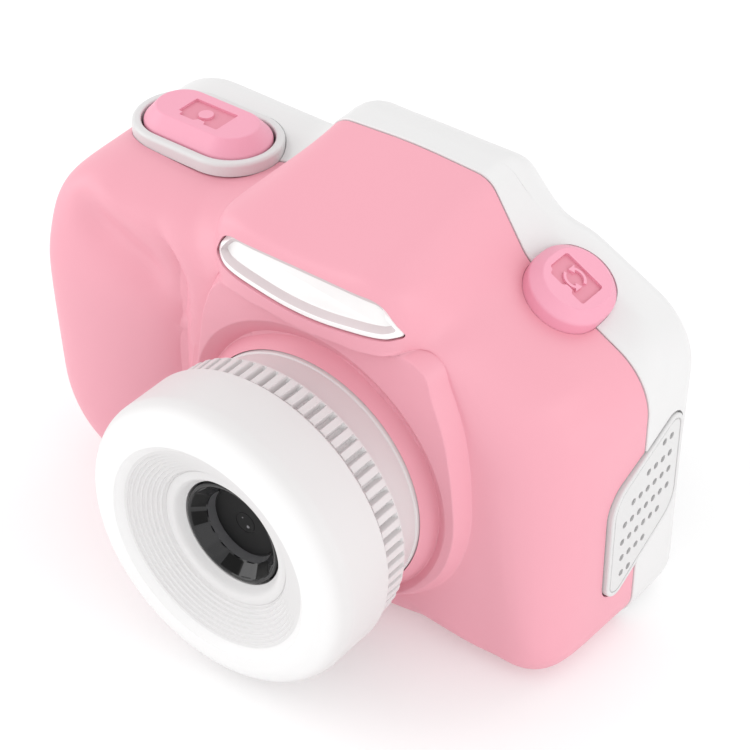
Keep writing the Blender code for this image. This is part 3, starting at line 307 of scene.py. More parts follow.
def finer_rows(grid, times):
    """Smooth rows put between the given ones."""
    padded = np.concatenate([2 * grid[:1] - grid[1:2], grid, 2 * grid[-1:] - grid[-2:-1]])
    rows = []
    for i in range(len(grid) - 1):
        a, b, c, d = padded[i:i + 4]
        for t in np.arange(times) / times:
            rows.append(0.5 * (2 * b + (c - a) * t + (2 * a - 5 * b + 4 * c - d) * t**2
                               + (3 * b - a - 3 * c + d) * t**3))
    rows.append(grid[-1])
    return rows


def grip_detail(rows, angle):
    """Brings out the grip on the smooth rows: its thumb rest and the crease between it and the face."""
    rim = rows[-1][:, 0]
    for row in rows[:-1]:
        x, z = row[:, 0] * np.cos(angle), row[:, 0] * np.sin(angle)
        crease = GRIP_VALLEY - 0.0068 * step(0.0185, 0.0320, z) ** 1.4
        away = x - crease
        valley = np.exp(np.minimum(away, 0.0) / 0.0036) * np.exp(-(np.maximum(away, 0.0) / 0.0018) ** 2)
        valley = valley * (1 - step(0.0215, 0.0300, z))
        ledge = 0.0195 + 0.50 * (-0.0320 - x)
        rest = np.exp(-(((z - ledge + 0.0012) / 0.0036) ** 2)) * step(-0.0500, -0.0430, x)
        rest = rest * (1 - step(-0.0350, -0.0280, x))
        inside = step(0.0, 0.0040, row[:, 1] - 0.0150) * step(0.0, 0.0022, row[:, 0] - rim)
        row[:, 1] -= inside * (0.0021 * valley + 0.0016 * rest)
    return rows


def soft_corner(before, corner, after, reach, steps=4):
    """Rows that round a corner row, reaching at most so far towards the rows beside it."""
    def towards(other):
        run = np.linalg.norm(other - corner, axis=1, keepdims=True)
        return corner + (other - corner) * np.minimum(reach / np.maximum(run, 1e-9), 0.48)
    start, end = towards(before), towards(after)
    shares = np.linspace(0.0, 1.0, steps + 1)
    return [start * (1 - t) ** 2 + corner * 2 * t * (1 - t) + end * t**2 for t in shares]


def case_ring(row, angle):
    height = np.maximum(LENS_Z + row[:, 0] * np.sin(angle), 0.0)
    return np.stack([row[:, 0] * np.cos(angle), SEAM_Y - row[:, 1], height], axis=1)


# ---- Mesh helpers ----
@contextlib.contextmanager
def editing(mesh):
    """Gives the mesh as a bmesh and writes it back afterwards."""
    bm = bmesh.new()
    bm.from_mesh(mesh)
    yield bm
    bm.to_mesh(mesh)
    bm.free()


def place(name, data):
    obj = bpy.data.objects.new(name, data)
    bpy.context.scene.collection.objects.link(obj)
    return obj


def lofted(name, rings, closed):
    rings = [np.array([tuple(p) for p in ring]) for ring in rings]
    count = len(rings[0])
    faces = []
    for k in range(len(rings) if closed else len(rings) - 1):
        low, high = k * count, ((k + 1) % len(rings)) * count
        for i in range(count):
            j = (i + 1) % count
            faces.append((low + i, low + j, high + j, high + i))
    if not closed:
        faces.append(tuple(range(count))[::-1])
        faces.append(tuple(range((len(rings) - 1) * count, len(rings) * count)))
    mesh = bpy.data.meshes.new(name)
    mesh.from_pydata([tuple(p) for p in np.concatenate(rings)], [], faces)
    with editing(mesh) as bm:
        bmesh.ops.recalc_face_normals(bm, faces=bm.faces)
    return place(name, mesh)


def lathed(name, profile, steps, closed=True, centre=None):
    """Turns (radius, depth) points about the lens axis, or about a line along Y through centre."""
    centre = centre or case_point(0.0, 0.0, 0.0)
    angles = np.linspace(0.0, 2 * math.pi, steps, endpoint=False)
    rings = []
    for radius, depth in profile:
        radius = max(radius, 0.00001)
        rings.append([(centre.x + radius * math.cos(a), centre.y - depth, centre.z + radius * math.sin(a))
                      for a in angles])
    return lofted(name, rings, closed)


def laid(outline, height, frame_):
    return [frame_ @ Vector((x, y, height)) for x, y in outline]


def about_lens(radius, angles, depth):
    """A ring about the lens axis, of one radius or of one radius per angle."""
    return np.stack([radius * np.cos(angles), np.full_like(angles, SEAM_Y - depth),
                     LENS_Z + radius * np.sin(angles)], axis=1)


def slab(name, outlines, bottom, top, placing):
    """Extrudes flat outlines along local Z, then places them. Outlines inside the first are holes."""
    curve = bpy.data.curves.new(name, "CURVE")
    curve.dimensions = "2D"
    curve.fill_mode = "BOTH"
    curve.extrude = (top - bottom) / 2
    for outline in outlines:
        spline = curve.splines.new("POLY")
        spline.points.add(len(outline) - 1)
        for point, (x, y) in zip(spline.points, outline):
            point.co = (x, y, 0.0, 1.0)
        spline.use_cyclic_u = True
    rough = place(name + "_outline", curve)
    graph = bpy.context.evaluated_depsgraph_get()
    mesh = bpy.data.meshes.new_from_object(rough.evaluated_get(graph))
    bpy.data.objects.remove(rough, do_unlink=True)
    with editing(mesh) as bm:
        bmesh.ops.remove_doubles(bm, verts=bm.verts, dist=1e-6)
        bmesh.ops.translate(bm, verts=bm.verts, vec=(0.0, 0.0, (top + bottom) / 2))
        bmesh.ops.transform(bm, matrix=placing, verts=bm.verts)
        bmesh.ops.recalc_face_normals(bm, faces=bm.faces)
    return place(name, mesh)


def facing(direction, centre):
    quarter = math.radians(90)
    turns = {
        "front": Matrix.Rotation(quarter, 4, "X"),
        "rear": Matrix.Rotation(quarter, 4, "X") @ Matrix.Scale(-1, 4, (0, 0, 1)),
        "right": Matrix.Rotation(quarter, 4, "Z") @ Matrix.Rotation(quarter, 4, "X"),
        "left": Matrix.Rotation(quarter, 4, "Z") @ Matrix.Rotation(quarter, 4, "X")
        @ Matrix.Scale(-1, 4, (0, 0, 1)),
    }
    return Matrix.Translation(centre) @ turns[direction]


def combine(obj, others, operation):
    for other in others:
        modifier = obj.modifiers.new(other.name, "BOOLEAN")
        modifier.operation = operation
        modifier.object = other
        modifier.solver = "EXACT"
    settle(obj)
    for other in others:
        bpy.data.objects.remove(other, do_unlink=True)


def settle(obj):
    """Applies the modifiers."""
    graph = bpy.context.evaluated_depsgraph_get()
    mesh = bpy.data.meshes.new_from_object(obj.evaluated_get(graph))
    obj.modifiers.clear()
    obj.data = mesh


def dress(obj, sharp, look, body, slot, *nodes):
    """Gives a piece its shading, look and body, and hides the CAD nodes it stands for. The slot is not
    used.

    Edges over sharp degrees stay sharp. Large faces keep their own direction and small ones bend.
    """
    obj.data.shade_smooth()
    obj.data.set_sharp_from_angle(angle=math.radians(sharp))
    weighted = obj.modifiers.new("normals", "WEIGHTED_NORMAL")
    weighted.weight = 50
    weighted.keep_sharp = True
    settle(obj)
    obj.data.materials.clear()
    obj.data.materials.append(LOOK[look])
    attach(obj, body)
    if nodes:
        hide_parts(*nodes)


def repaint(obj, look, chosen):
    """Gives the chosen faces of a dressed piece another look."""
    index = len(obj.data.materials)
    obj.data.materials.append(LOOK[look])
    for face in obj.data.polygons:
        if chosen(face):
            face.material_index = index


# ---- Materials ----
def put(node, **values):
    """Sets the inputs of a shader node, whose names are written with underscores."""
    for name, value in values.items():
        node.inputs[name.replace("_", " ")].default_value = value
    return node


def shade(name, colour, roughness, grain=0.00003, grain_scale=5200.0, mottle=0.035, metallic=0.0,
          coat=0.0, anisotropic=0.0, streak=None, spec=0.5):
    """A moulded or metal surface: slow colour drift, uneven gloss and a fine grain in the relief."""
    material = bpy.data.materials.new(name)
    material.use_nodes = True
    nodes, links = material.node_tree.nodes, material.node_tree.links
    surface = nodes["Principled BSDF"]
    where = nodes.new("ShaderNodeTexCoord").outputs["Object"]
    drift = put(nodes.new("ShaderNodeTexNoise"), Scale=55.0, Detail=3.0)
    links.new(where, drift.inputs["Vector"])
    blend = nodes.new("ShaderNodeMix")
    blend.data_type = "RGBA"
    put(blend, A=(*(c * (1 - mottle) for c in colour), 1.0),
        B=(*(min(1.0, c * (1 + mottle)) for c in colour), 1.0))
    links.new(drift.outputs["Fac"], blend.inputs["Factor"])
    links.new(blend.outputs["Result"], surface.inputs["Base Color"])
    patches = put(nodes.new("ShaderNodeTexNoise"), Scale=420.0, Detail=4.0)
    links.new(where, patches.inputs["Vector"])
    gloss = put(nodes.new("ShaderNodeMapRange"), To_Min=max(0.02, roughness - 0.05),
                To_Max=min(1.0, roughness + 0.05))
    links.new(patches.outputs["Fac"], gloss.inputs["Value"])
    links.new(gloss.outputs["Result"], surface.inputs["Roughness"])
    if grain:
        fine = put(nodes.new("ShaderNodeTexNoise"), Scale=grain_scale, Detail=2.0)
        if streak:
            stretch = put(nodes.new("ShaderNodeMapping"), Scale=streak)
            links.new(where, stretch.inputs["Vector"])
            where = stretch.outputs["Vector"]
        links.new(where, fine.inputs["Vector"])
        bump = put(nodes.new("ShaderNodeBump"), Strength=0.35, Distance=grain)
        links.new(fine.outputs["Fac"], bump.inputs["Height"])
        links.new(bump.outputs["Normal"], surface.inputs["Normal"])
    put(surface, Metallic=metallic, Specular_IOR_Level=spec, Coat_Weight=coat, Coat_Roughness=0.15,
        Anisotropic=anisotropic)
    return material


def painted_front_highlight(material, rear, front, colour):
    """Paints a highlight: lets a material turn smoothly lighter between two places along Y, for the
    stronger light on the front.
    """
    nodes, links = material.node_tree.nodes, material.node_tree.links
    base = nodes["Principled BSDF"].inputs["Base Color"]
    where = nodes.new("ShaderNodeTexCoord")
    split = nodes.new("ShaderNodeSeparateXYZ")
    links.new(where.outputs["Object"], split.inputs["Vector"])
    along = put(nodes.new("ShaderNodeMapRange"), From_Min=rear, From_Max=front)
    along.interpolation_type = "SMOOTHSTEP"
    links.new(split.outputs["Y"], along.inputs["Value"])
    lift = nodes.new("ShaderNodeMix")
    lift.data_type = "RGBA"
    put(lift, B=(*colour, 1.0))
    links.new(along.outputs["Result"], lift.inputs["Factor"])
    links.new(base.links[0].from_socket, lift.inputs["A"])
    links.new(lift.outputs["Result"], base)


PINK = (0.790, 0.352, 0.425)
LOOK = {
    "pink": shade("pink_moulding", PINK, 0.46, mottle=0.012),
    "pink_button": shade("pink_button_moulding", (0.800, 0.342, 0.450), 0.42, mottle=0.012),
    # Painted shade: a darker pink for the floors of the cut pictograms.
    "engraving_painted_shade": shade("engraving_painted_shade", (0.700, 0.255, 0.335), 0.5, mottle=0.012),
    "pink_rubber": shade("pink_rubber", (0.780, 0.340, 0.410), 0.62, grain=0.00005, mottle=0.02),
    "white": shade("white_moulding", (0.72, 0.715, 0.715), 0.36, mottle=0.01),
    "white_trim": shade("white_trim_moulding", (0.665, 0.66, 0.66), 0.36, mottle=0.01),
    "white_lens": shade("white_lens_moulding", (0.70, 0.685, 0.685), 0.42, grain=0.00001, mottle=0.01,
                        spec=0.4),
    "funnel": shade("soft_white_moulding", (0.73, 0.72, 0.72), 0.55, grain=0.00001, mottle=0.01, spec=0.3),
    # Painted shade: a darker tone for the inner wall of the flash tray.
    "flash_wall_painted_shade": shade("diffuser_wall_painted_shade", (0.66, 0.59, 0.60), 0.35, grain=0.00001, mottle=0.02),
    "flash": shade("milky_diffuser", (0.92, 0.92, 0.915), 0.18, grain=0.00001, grain_scale=2400.0,
                   mottle=0.01, coat=0.4),
    "gloss_black": shade("polished_black", (0.012, 0.012, 0.013), 0.12, grain=0.0, mottle=0.1, spec=0.45),
    # Painted reflections on the black lens ring: darker facets and a grey inner wall.
    "dark_facet_painted_reflection": shade("dark_facet_painted_reflection", (0.003, 0.003, 0.003), 0.20, grain=0.0, mottle=0.1, spec=0.15),
    "wall_painted_reflection": shade("bezel_wall_painted_reflection", (0.12, 0.12, 0.125), 0.30, grain=0.00001, mottle=0.08),
    "dark_disc": shade("dark_lens_plate", (0.008, 0.008, 0.0084), 0.42, grain=0.00001, mottle=0.06,
                       spec=0.14),
    "lens_eye": shade("lens_eye", (0.13, 0.13, 0.14), 0.12, grain=0.0, mottle=0.1, coat=1.0),
    "screen": shade("screen_glass", (0.010, 0.011, 0.014), 0.07, grain=0.0, mottle=0.1, coat=0.8),
    "black_plastic": shade("black_moulding", (0.018, 0.018, 0.019), 0.45, mottle=0.08),
    "steel": shade("plain_steel", (0.60, 0.60, 0.61), 0.28, grain=0.00001, grain_scale=2600.0, mottle=0.05,
                   metallic=1.0, anisotropic=0.4, streak=(1.0, 1.0, 0.05)),
    "screw": shade("zinc_steel", (0.56, 0.56, 0.57), 0.32, grain=0.00001, mottle=0.06, metallic=1.0),
    "board": shade("green_board", (0.02, 0.13, 0.06), 0.34, grain=0.00004, grain_scale=1500.0, mottle=0.15,
                   coat=0.3),
    "white_board": shade("white_board", (0.82, 0.82, 0.80), 0.40, mottle=0.04),
    "foil": shade("battery_foil", (0.66, 0.66, 0.67), 0.34, grain=0.00004, grain_scale=900.0, mottle=0.06,
                  metallic=0.9),
    "flex": shade("amber_film", (0.48, 0.22, 0.04), 0.35, grain=0.00002, grain_scale=1800.0, mottle=0.10,
                  coat=0.3, streak=(1.0, 0.04, 0.04)),
    "red_wire": shade("red_insulation", (0.45, 0.02, 0.02), 0.45, mottle=0.05),
    "black_wire": shade("black_insulation", (0.03, 0.03, 0.03), 0.45, mottle=0.05),
}
# Painted highlight: the white lens moulding turns lighter towards the front lip of the lens hood.
painted_front_highlight(LOOK["white_lens"], SEAM_Y - BARREL_FRONT + 0.0026, SEAM_Y - BARREL_FRONT + 0.0002,
               (0.84, 0.835, 0.835))


# ---- Covers ----
def shutter_frame():
    return Matrix.Translation(SHUTTER)


def swap_frame():
    return Matrix.Translation(SWAP) @ Matrix.Rotation(SWAP_TILT, 4, "Y")


def grille_outline(margin=0.0, steps=12):
    m = margin
    corners = ((0.0098 + m, 0.0128 + 1.6 * m, 0.0028 + m),
               (-0.0086 - m, 0.0045 + 0.7 * m, 0.0060 + m),
               (-0.0086 - m, -0.0168 - 1.6 * m, 0.0028 + m),
               (0.0098 + m, -0.0070 - 0.7 * m, 0.0060 + m))
    return filleted(corners, steps)


def flash_outline(margin=0.0, steps=10):
    m = margin
    right = [(0.0, 0.0290 - m, 0.0400), (0.0146 + 0.5 * m, 0.0313 - m, 0.0015 + 0.5 * m),
             (0.0170 + 1.2 * m, 0.0322 - 0.8 * m, 0.0006 + 0.2 * m),
             (0.0138 + 0.6 * m, 0.0373 + m, 0.0036 + m)]
    left = [(-x, height, radius) for x, height, radius in right[:0:-1]]
    return filleted(right + left, steps)


DOOR_LOW, DOOR_HIGH = box("port_door")
DOOR_MIDDLE = (DOOR_LOW + DOOR_HIGH) / 2
DOOR_SIZE = (DOOR_HIGH.y - DOOR_LOW.y, DOOR_HIGH.z - DOOR_LOW.z)


def door_frame():
    return facing("left", Vector((LEFT_X, DOOR_MIDDLE.y, DOOR_MIDDLE.z)))


def shared_cutters(tag):
    swap_hole = [(y, x) for x, y in stadium(0.0146, 0.0131)][::-1]
    side = side_frame()
    return [
        slab("cut_seat_" + tag, [stadium(0.0264, 0.0164)], -0.0006, 0.0060, shutter_frame()),
        slab("cut_hole_" + tag, [stadium(0.0254, 0.0154)], -0.0040, 0.0020, shutter_frame()),
        slab("cut_swap_" + tag, [swap_hole], -0.0034, 0.0080, swap_frame()),
        slab("cut_grille_" + tag, [grille_outline(0.0002)], -0.0045, 0.0020, side),
    ]


def front_cover():
    radius, angle = case_angles()
    grid = flowing_skin(radius, angle)
    rows = grip_detail(finer_rows(grid, 4), angle)
    edge = rows[0].copy()
    rows[0] = edge - np.array((0.00015, 0.0))
    rows.insert(1, edge + np.array((0.0, 0.00015)))
    face = rows.pop()
    rim = recess_edge(angle)
    panel = by_angle(PANEL_RADIUS, angle)
    top = np.maximum(panel - by_angle(PANEL_STEP, angle), rim + 0.0002)

    def on_panel(at):
        return np.stack([at, panel_depth(at * np.cos(angle), at * np.sin(angle))], axis=1)

    floor, mouth = (np.tile((at, deep), (len(angle), 1))
                    for at, deep in ((RECESS_FLOOR_R, RECESS_FLOOR_DEPTH), (LENS_HOLE_R, MOUTH_DEPTH)))
    corners = [rows[-1], face, on_panel(top), on_panel(rim), floor, mouth]
    for i, reach in ((1, 0.0003), (2, 0.00025), (3, 0.0001), (4, 0.0001)):
        rows += soft_corner(corners[i - 1], corners[i], corners[i + 1], reach, 3 if i < 3 else 1)
    below = np.array((0.0, WALL))
    rows += [mouth + np.array((0.0001, 0.0)), mouth - np.array((0.0, 0.0002)), mouth - below]
    inside = np.minimum(grid[-1, :, 1], RECESS_FLOOR_DEPTH) - WALL
    rows.append(np.stack([grid[-1, :, 0] - 0.0006, inside], axis=1))
    bend_end = WALL_ROWS + BEND_ROWS
    for i in (bend_end, WALL_ROWS + 4, WALL_ROWS + 2, WALL_ROWS - 1, 0):
        inward = WALL * (1.0 if i <= WALL_ROWS + 2 else 0.4)
        forward = WALL * (0.0 if i < WALL_ROWS else 0.7 if i == WALL_ROWS + 2 else 1.0)
        rows.append(grid[i] - np.array((inward, forward)))
    cover = lofted("pink_front_cover", [case_ring(row, angle) for row in rows], True)
    cutters = [
        slab("cut_flash", [flash_outline(0.0002)], 0.0150, 0.0320, facing("front", case_point(0, 0, 0))),
        slab("cut_door", [rounded_box(DOOR_SIZE[0] + 2 * GAP, DOOR_SIZE[1] + 2 * GAP, 0.0015)],
             -0.0040, 0.0020, door_frame()),
    ]
    combine(cover, shared_cutters("front") + cutters, "DIFFERENCE")
    dress(cover, 17, "pink", "case", "pink_shell", "front_cover")


def side_frame():
    return facing("right", case_point(RIGHT_X, 0.0, 0.0))


def rear_frame(x, height):
    return facing("rear", Vector((x, SEAM_Y + REAR_DEPTH, height)))


def rear_at(node):
    spot = middle(node)
    return rear_frame(spot.x, spot.z)


def rear_middle(node):
    """The middle of a node's rear face."""
    spot = middle(node)
    return Vector((spot.x, box(node)[1].y, spot.z))


def screen_size():
    low, high = box("display_window")
    return high.x - low.x, high.z - low.z


SCREWS = ("case_screw_1", "case_screw_2", "case_screw_3", "case_screw_4")
KEYS = ("key_ok", "key_up", "key_down", "key_left", "key_right", "key_power", "key_playback")
KEY_TURNS = {"key_right": 0, "key_up": 90, "key_left": 180, "key_down": 270}


def key_outline(name, margin=0.0, steps=6):
    if name in ("key_ok", "key_power", "key_playback"):
        return circle((0.0031 if name == "key_ok" else 0.0026) + margin, 48)
    m = margin
    corners = ((0.0027 + 1.4 * m, 0.0, 0.0008 + m), (0.0006, 0.0029 + m, 0.0010 + m),
               (-0.0022 - m, 0.0029 + m, 0.0008 + m), (-0.0022 - m, -0.0029 - m, 0.0008 + m),
               (0.0006, -0.0029 - m, 0.0010 + m))
    return turned(filleted(corners, steps), KEY_TURNS[name])


def key_centre(name):
    """The origin of a key's outline on the rear face, found from the middle of its box."""
    outline = np.array(key_outline(name, 0.0007))
    mid = (outline.max(axis=0) + outline.min(axis=0)) / 2
    spot = middle(name)
    return spot.x - mid[0], spot.z - mid[1]


def rear_cover():
    radius, angle = case_angles()
    full = rear_radius(angle)
    bend = by_angle(REAR_BEND, angle)
    skins = []
    for inset, grow in ((0.0, REAR_PROUD), (WALL, 0.0)):
        rows = []
        tight = bend - inset
        for behind in (0.0001, 0.00025, 0.001, 0.002, 0.003, 0.004, 0.005, 0.006):
            at = radius + (full - radius) * step(0.0, REAR_SWELL, behind) + grow - inset
            edge = 0.00015 if behind < 0.0002 else 0.0
            rows.append((at - edge, np.minimum(behind, REAR_DEPTH - bend - 0.0002)))
        for turn in np.linspace(0.0, math.pi / 2, 9):
            behind = REAR_DEPTH - inset - tight * (1 - math.sin(turn))
            at = radius + (full - radius) * step(0.0, REAR_SWELL, behind) + grow - inset
            rows.append((at - tight * (1 - math.cos(turn)), behind))
        skins.append([np.stack([at, -behind], axis=1) for at, behind in rows])
    rings = [case_ring(row, angle) for row in skins[0][::-1] + skins[1]]
    cover = lofted("white_rear_cover", rings, False)
    wide, tall = screen_size()
    screen = rear_at("display_window")
    cutters = [
        slab("cut_window", [rounded_box(wide + 0.0004, tall + 0.0004, 0.0025)], -0.0012, 0.0010, screen),
        slab("cut_screen", [rounded_box(wide - 0.0060, tall - 0.0050, 0.0010)], -0.0030, 0.0, screen),
        slab("cut_selfie", [circle(0.0042, 64)], -0.0030, 0.0010, rear_at("selfie_window")),
    ]
    for name in KEYS:
        cutters.append(slab("cut_" + name, [key_outline(name, GAP)], -0.0030, 0.0010,
                            rear_frame(*key_centre(name))))
    for node in SCREWS:
        cutters.append(slab("cut_" + node, [circle(0.0021, 40)], -0.0023, 0.0010, rear_at(node)))
    combine(cover, cutters + shared_cutters("rear"), "DIFFERENCE")
    dress(cover, 38, "white", "case", "white_shell", "rear_cover")


# ---- Lens ----
def stairs(outer, inner, front, back, count):
    """The fine steps of the funnel, each with a rounded nose."""
    points = []
    for t in np.linspace(0.0, 1.0, count * 14 + 1)[1:]:
        whole, part = divmod(t * count, 1.0)
        fall = whole + float(step(0.74, 1.0, part))
        points.append((outer + (inner - outer) * t, front + (back - front) * min(fall / count, 1.0)))
    return points


def lens_place(face):
    """A face's distance from the lens axis and its depth in front of the seam."""
    return math.hypot(face.center.x, face.center.z - LENS_Z), SEAM_Y - face.center.y


def lens_barrel():
    bore = 0.0088
    hollow = BARREL_R - WALL
    edge = [(BARREL_R - 0.0003, BARREL_REAR), (BARREL_R, BARREL_REAR + 0.0003)]
    for a in np.linspace(0.0, math.pi / 2, 17):
        edge.append((BARREL_R - 0.0042 * (1 - math.cos(a)), BARREL_FRONT - 0.0042 * (1 - math.sin(a))))
    lip = [(0.0179, BARREL_FRONT), (0.01776, BARREL_FRONT - 0.00003), (0.0177, BARREL_FRONT - 0.00012)]
    band = [(0.01755, BARREL_FRONT - 0.0003), (0.0168, BARREL_FRONT - 0.0010),
            (FUNNEL_R, BARREL_FRONT - 0.0011)]
    foot = [(0.01155, 0.04448), (0.01145, 0.04432), (0.01135, 0.04420), (0.01125, 0.04432),
            (0.0111, 0.04436), (0.0101, 0.04430), (0.0099, 0.04422), (0.0095, 0.04380),
            (0.0092, 0.04330), (bore, 0.0428)]
    inside = [(bore, 0.0366), (0.0104, 0.0366), (0.0104, 0.0416), (0.0125, 0.0429),
              (0.0172, 0.0463), (0.0195, 0.0468), (hollow, 0.0442), (hollow, 0.0394),
              (RING_BORE, 0.0394), (RING_BORE, BARREL_REAR)]
    stair = stairs(FUNNEL_R, 0.0116, BARREL_FRONT - 0.0011, 0.04445, FUNNEL_STEPS)
    barrel = lathed("lens_hood", edge + lip + band + stair + foot + inside, 192)
    dress(barrel, 30, "white_lens", "case", "white_lens", "lens_barrel")

    def in_funnel(face):
        away, deep = lens_place(face)
        return away < FUNNEL_R and deep > 0.0428

    repaint(barrel, "funnel", in_funnel)


def focus_ring():
    """Flat-topped ribs between two thin lips, with sloped ends to the grooves."""
    ribs = 66
    shares = (-0.50, -0.38, -0.27, -0.22, 0.0, 0.22, 0.27, 0.38)
    heights = (0.0, 0.05, 0.90, 1.0, 1.0, 1.0, 0.90, 0.05)
    angles = np.array([2 * math.pi * (i + s) / ribs for i in range(ribs) for s in shares])
    rib = np.array(heights * ribs)
    length = RING_FRONT - RING_REAR
    rows = ((0.0, -0.00025, 0.0, 0.0), (0.0001, 0.0, 0.0, 0.0), (0.0003, 0.0, 0.0, 0.0),
            (0.0004, 0.0, 0.9, 0.15), (0.0009, 0.0, 1.0, 1.0))
    section = list(rows) + [(length - at, *rest) for at, *rest in rows[::-1]]
    rings = []
    for at, drop, tall, cut in section:
        radius = RING_CREST + drop + 0.00025 * tall * rib - 0.00095 * cut * (1 - rib)
        rings.append(about_lens(radius, angles, RING_REAR + at))
    for at in (length, 0.0):
        rings.append(about_lens(RING_BORE, angles, RING_REAR + at))
    ring = lofted("knurled_ring", rings, True)
    dress(ring, 24, "white_lens", "focus_ring", "white_lens", "focus_ring")


def lens_collar():
    rest = RING_REAR - GAP
    corners = ((0.0165, 0.0389, 0.0), (0.0190, 0.0389, 0.0002), (0.0190, rest, 0.0),
               (0.0201, rest, 0.0003), (0.0201, 0.0256, 0.0), (0.0203, 0.0254, 0.0001),
               (0.0203, 0.0198, 0.0), (0.0221, 0.0198, 0.0), (0.0221, 0.0182, 0.0),
               (0.0165, 0.0182, 0.0))
    collar = lathed("lens_tube", filleted(corners, 5), 160)
    dress(collar, 32, "white_lens", "case", "white_lens", "lens_collar")


def lens_bezel():
    """A polished black ring whose inner cone is cut in flat facets, with painted reflections: some facets
    darker, the inner wall grey.
    """
    facets = 14
    per = 8
    profile = ((0.00850, 0.0375, 0.0), (0.00850, 0.0427, 0.0), (0.00842, 0.04292, 0.0),
               (0.0082, 0.0430, 0.0), (0.00795, 0.04295, 0.0), (0.00785, 0.0428, 0.15),
               (0.0078, 0.0427, 1.0), (0.00632, 0.04125, 1.0), (0.0061, 0.04105, 0.0),
               (0.0059, 0.0396, 0.0), (0.0050, 0.0396, 0.0), (0.0050, 0.0375, 0.0))
    angles = np.linspace(0.0, 2 * math.pi, facets * per, endpoint=False)
    within = (angles + FACET_TURN) % (2 * math.pi / facets) - math.pi / facets
    flat = math.cos(math.pi / facets) / np.cos(within)
    rings = []
    for radius, depth, share in profile:
        rings.append(about_lens(radius * (1 + share * (flat - 1)), angles, depth))
    bezel = lofted("lens_ring", rings, True)
    dress(bezel, 12, "gloss_black", "case", "black_gloss", "lens_bezel")

    def on_wall(face):
        away, deep = lens_place(face)
        return 0.0058 < away < 0.00606 and 0.0396 < deep < 0.0411

    def on_painted_dark_facet(face):
        away, deep = lens_place(face)
        turn = math.atan2(face.center.z - LENS_Z, face.center.x) + FACET_TURN
        facet = int(turn / (2 * math.pi / facets) + 100)
        return deep > 0.0414 and 0.0062 < away < 0.0078 and facet % 5 in (1, 3)

    # Painted reflections: the inner wall is grey and two in every five facets are darker.
    repaint(bezel, "wall_painted_reflection", on_wall)
    repaint(bezel, "dark_facet_painted_reflection", on_painted_dark_facet)


def lens_glass():
    """The sunk dark plate with a fine circle and two small windows."""
    front = SEAM_Y - box("lens_glass")[0].y - 0.0008
    profile = [(0.0, front - 0.0002), (0.0057, front - 0.0002), (0.0057, front - 0.0001),
               (0.0056, front), (0.00180, front), (0.00177, front - 0.00006),
               (0.00171, front - 0.00006), (0.00168, front), (0.0, front)]
    plate = lathed("lens_plate", profile, 120, False)
    dress(plate, 30, "dark_disc", "case", "dark_glass", "lens_glass")
    eyes = (("lens_eye", 0.00048, -0.0006, 0.00030), ("sensor_eye", -0.00048, 0.00068, 0.00014))
    for name, x, z, radius in eyes:
        section = ((0.0, 0.0), (1.0, 0.0), (0.8, 0.3), (0.4, 0.5), (0.0, 0.52))
        dome = [(across * radius, up * radius) for across, up in section]
        eye = lathed(name, dome, 32, False, case_point(x, -front + 0.00002, z))
        dress(eye, 60, "lens_eye", "case", "dark_glass")


# ---- Flash ----
def brow_ring(margin, sunk, count=240):
    """A ring of the flash tray, which follows the bow of the brow."""
    points = []
    for x, height in spread(flash_outline(margin), count):
        dip = float(step(0.0346, 0.0368, height)) * max(0.0, FLASH_FLOOR - sunk)
        deep = BROW_DEPTH - BROW_BOW * (x / BROW_HALF) ** 8 - FLASH_SUNK - sunk - dip
        points.append(case_point(x, -deep, height))
    return points


def short_triangles(obj):
    """Divides the large end faces into short triangles, so that a bowed floor stays smooth."""
    with editing(obj.data) as bm:
        large = [face for face in bm.faces if len(face.verts) > 4]
        bmesh.ops.triangulate(bm, faces=large, ngon_method="BEAUTY")


def flash_window():
    path = filleted(((0.0, 0.0028, 0), (0.0, 0.0, 0.0002), (-0.0008, 0.0, 0.0001),
                     (-0.0014, 0.0012, 0.0001), (-0.0019, FLASH_FLOOR, 0)), 4, False)
    rings = [brow_ring(margin, sunk) for margin, sunk in path]
    wall = range(len(rings) - 7, len(rings) - 3)
    window = lofted("flash_diffuser", rings, False)
    short_triangles(window)
    dress(window, 34, "flash", "case", "flash_diffuser", "flash_window")
    # Painted shade: the wall rings of the flash tray get the darker tone.
    repaint(window, "flash_wall_painted_shade",
            lambda face: min(face.vertices) // len(rings[0]) in wall and len(face.vertices) == 4)


# ---- Buttons on the top ----
def section_rings(length, width, path, frame_, turn=False):
    """Rings of a button from (inset, height) points, lengthwise along X, or along Y when turned."""
    rings = []
    for inset, height in path:
        outline = stadium(length - 2 * inset, width - 2 * inset)
        rings.append(laid([(y, x) for x, y in outline] if turn else outline, height, frame_))
    return rings


def shutter_bezel():
    path = filleted(((0.0, -0.0003, 0), (0.0, BUTTON_PROUD, 0.0006), (0.00145, BUTTON_PROUD, 0.0003),
                     (0.00145, -0.0036, 0), (0.0007, -0.0036, 0), (0.0007, -0.0003, 0)), 5)
    ring = lofted("shutter_ring", section_rings(0.0262, 0.0162, path, shutter_frame()), True)
    dress(ring, 32, "white_trim", "case", "white_small", "shutter_bezel")


def camera_mark(width, depth, centre=(0.0, 0.0), round_=0.0002):
    """A plain camera pictogram, its top towards the front."""
    w, d = width / 2, depth / 2
    corners = ((-1, 1), (-1, -0.60), (-0.80, -0.60), (-0.80, -0.92), (-0.12, -0.92), (0.0, -0.68),
               (0.30, -0.68), (0.38, -0.92), (1, -0.92), (1, 1))
    return filleted([(centre[0] + w * x, centre[1] + d * y, round_) for x, y in corners], 3)


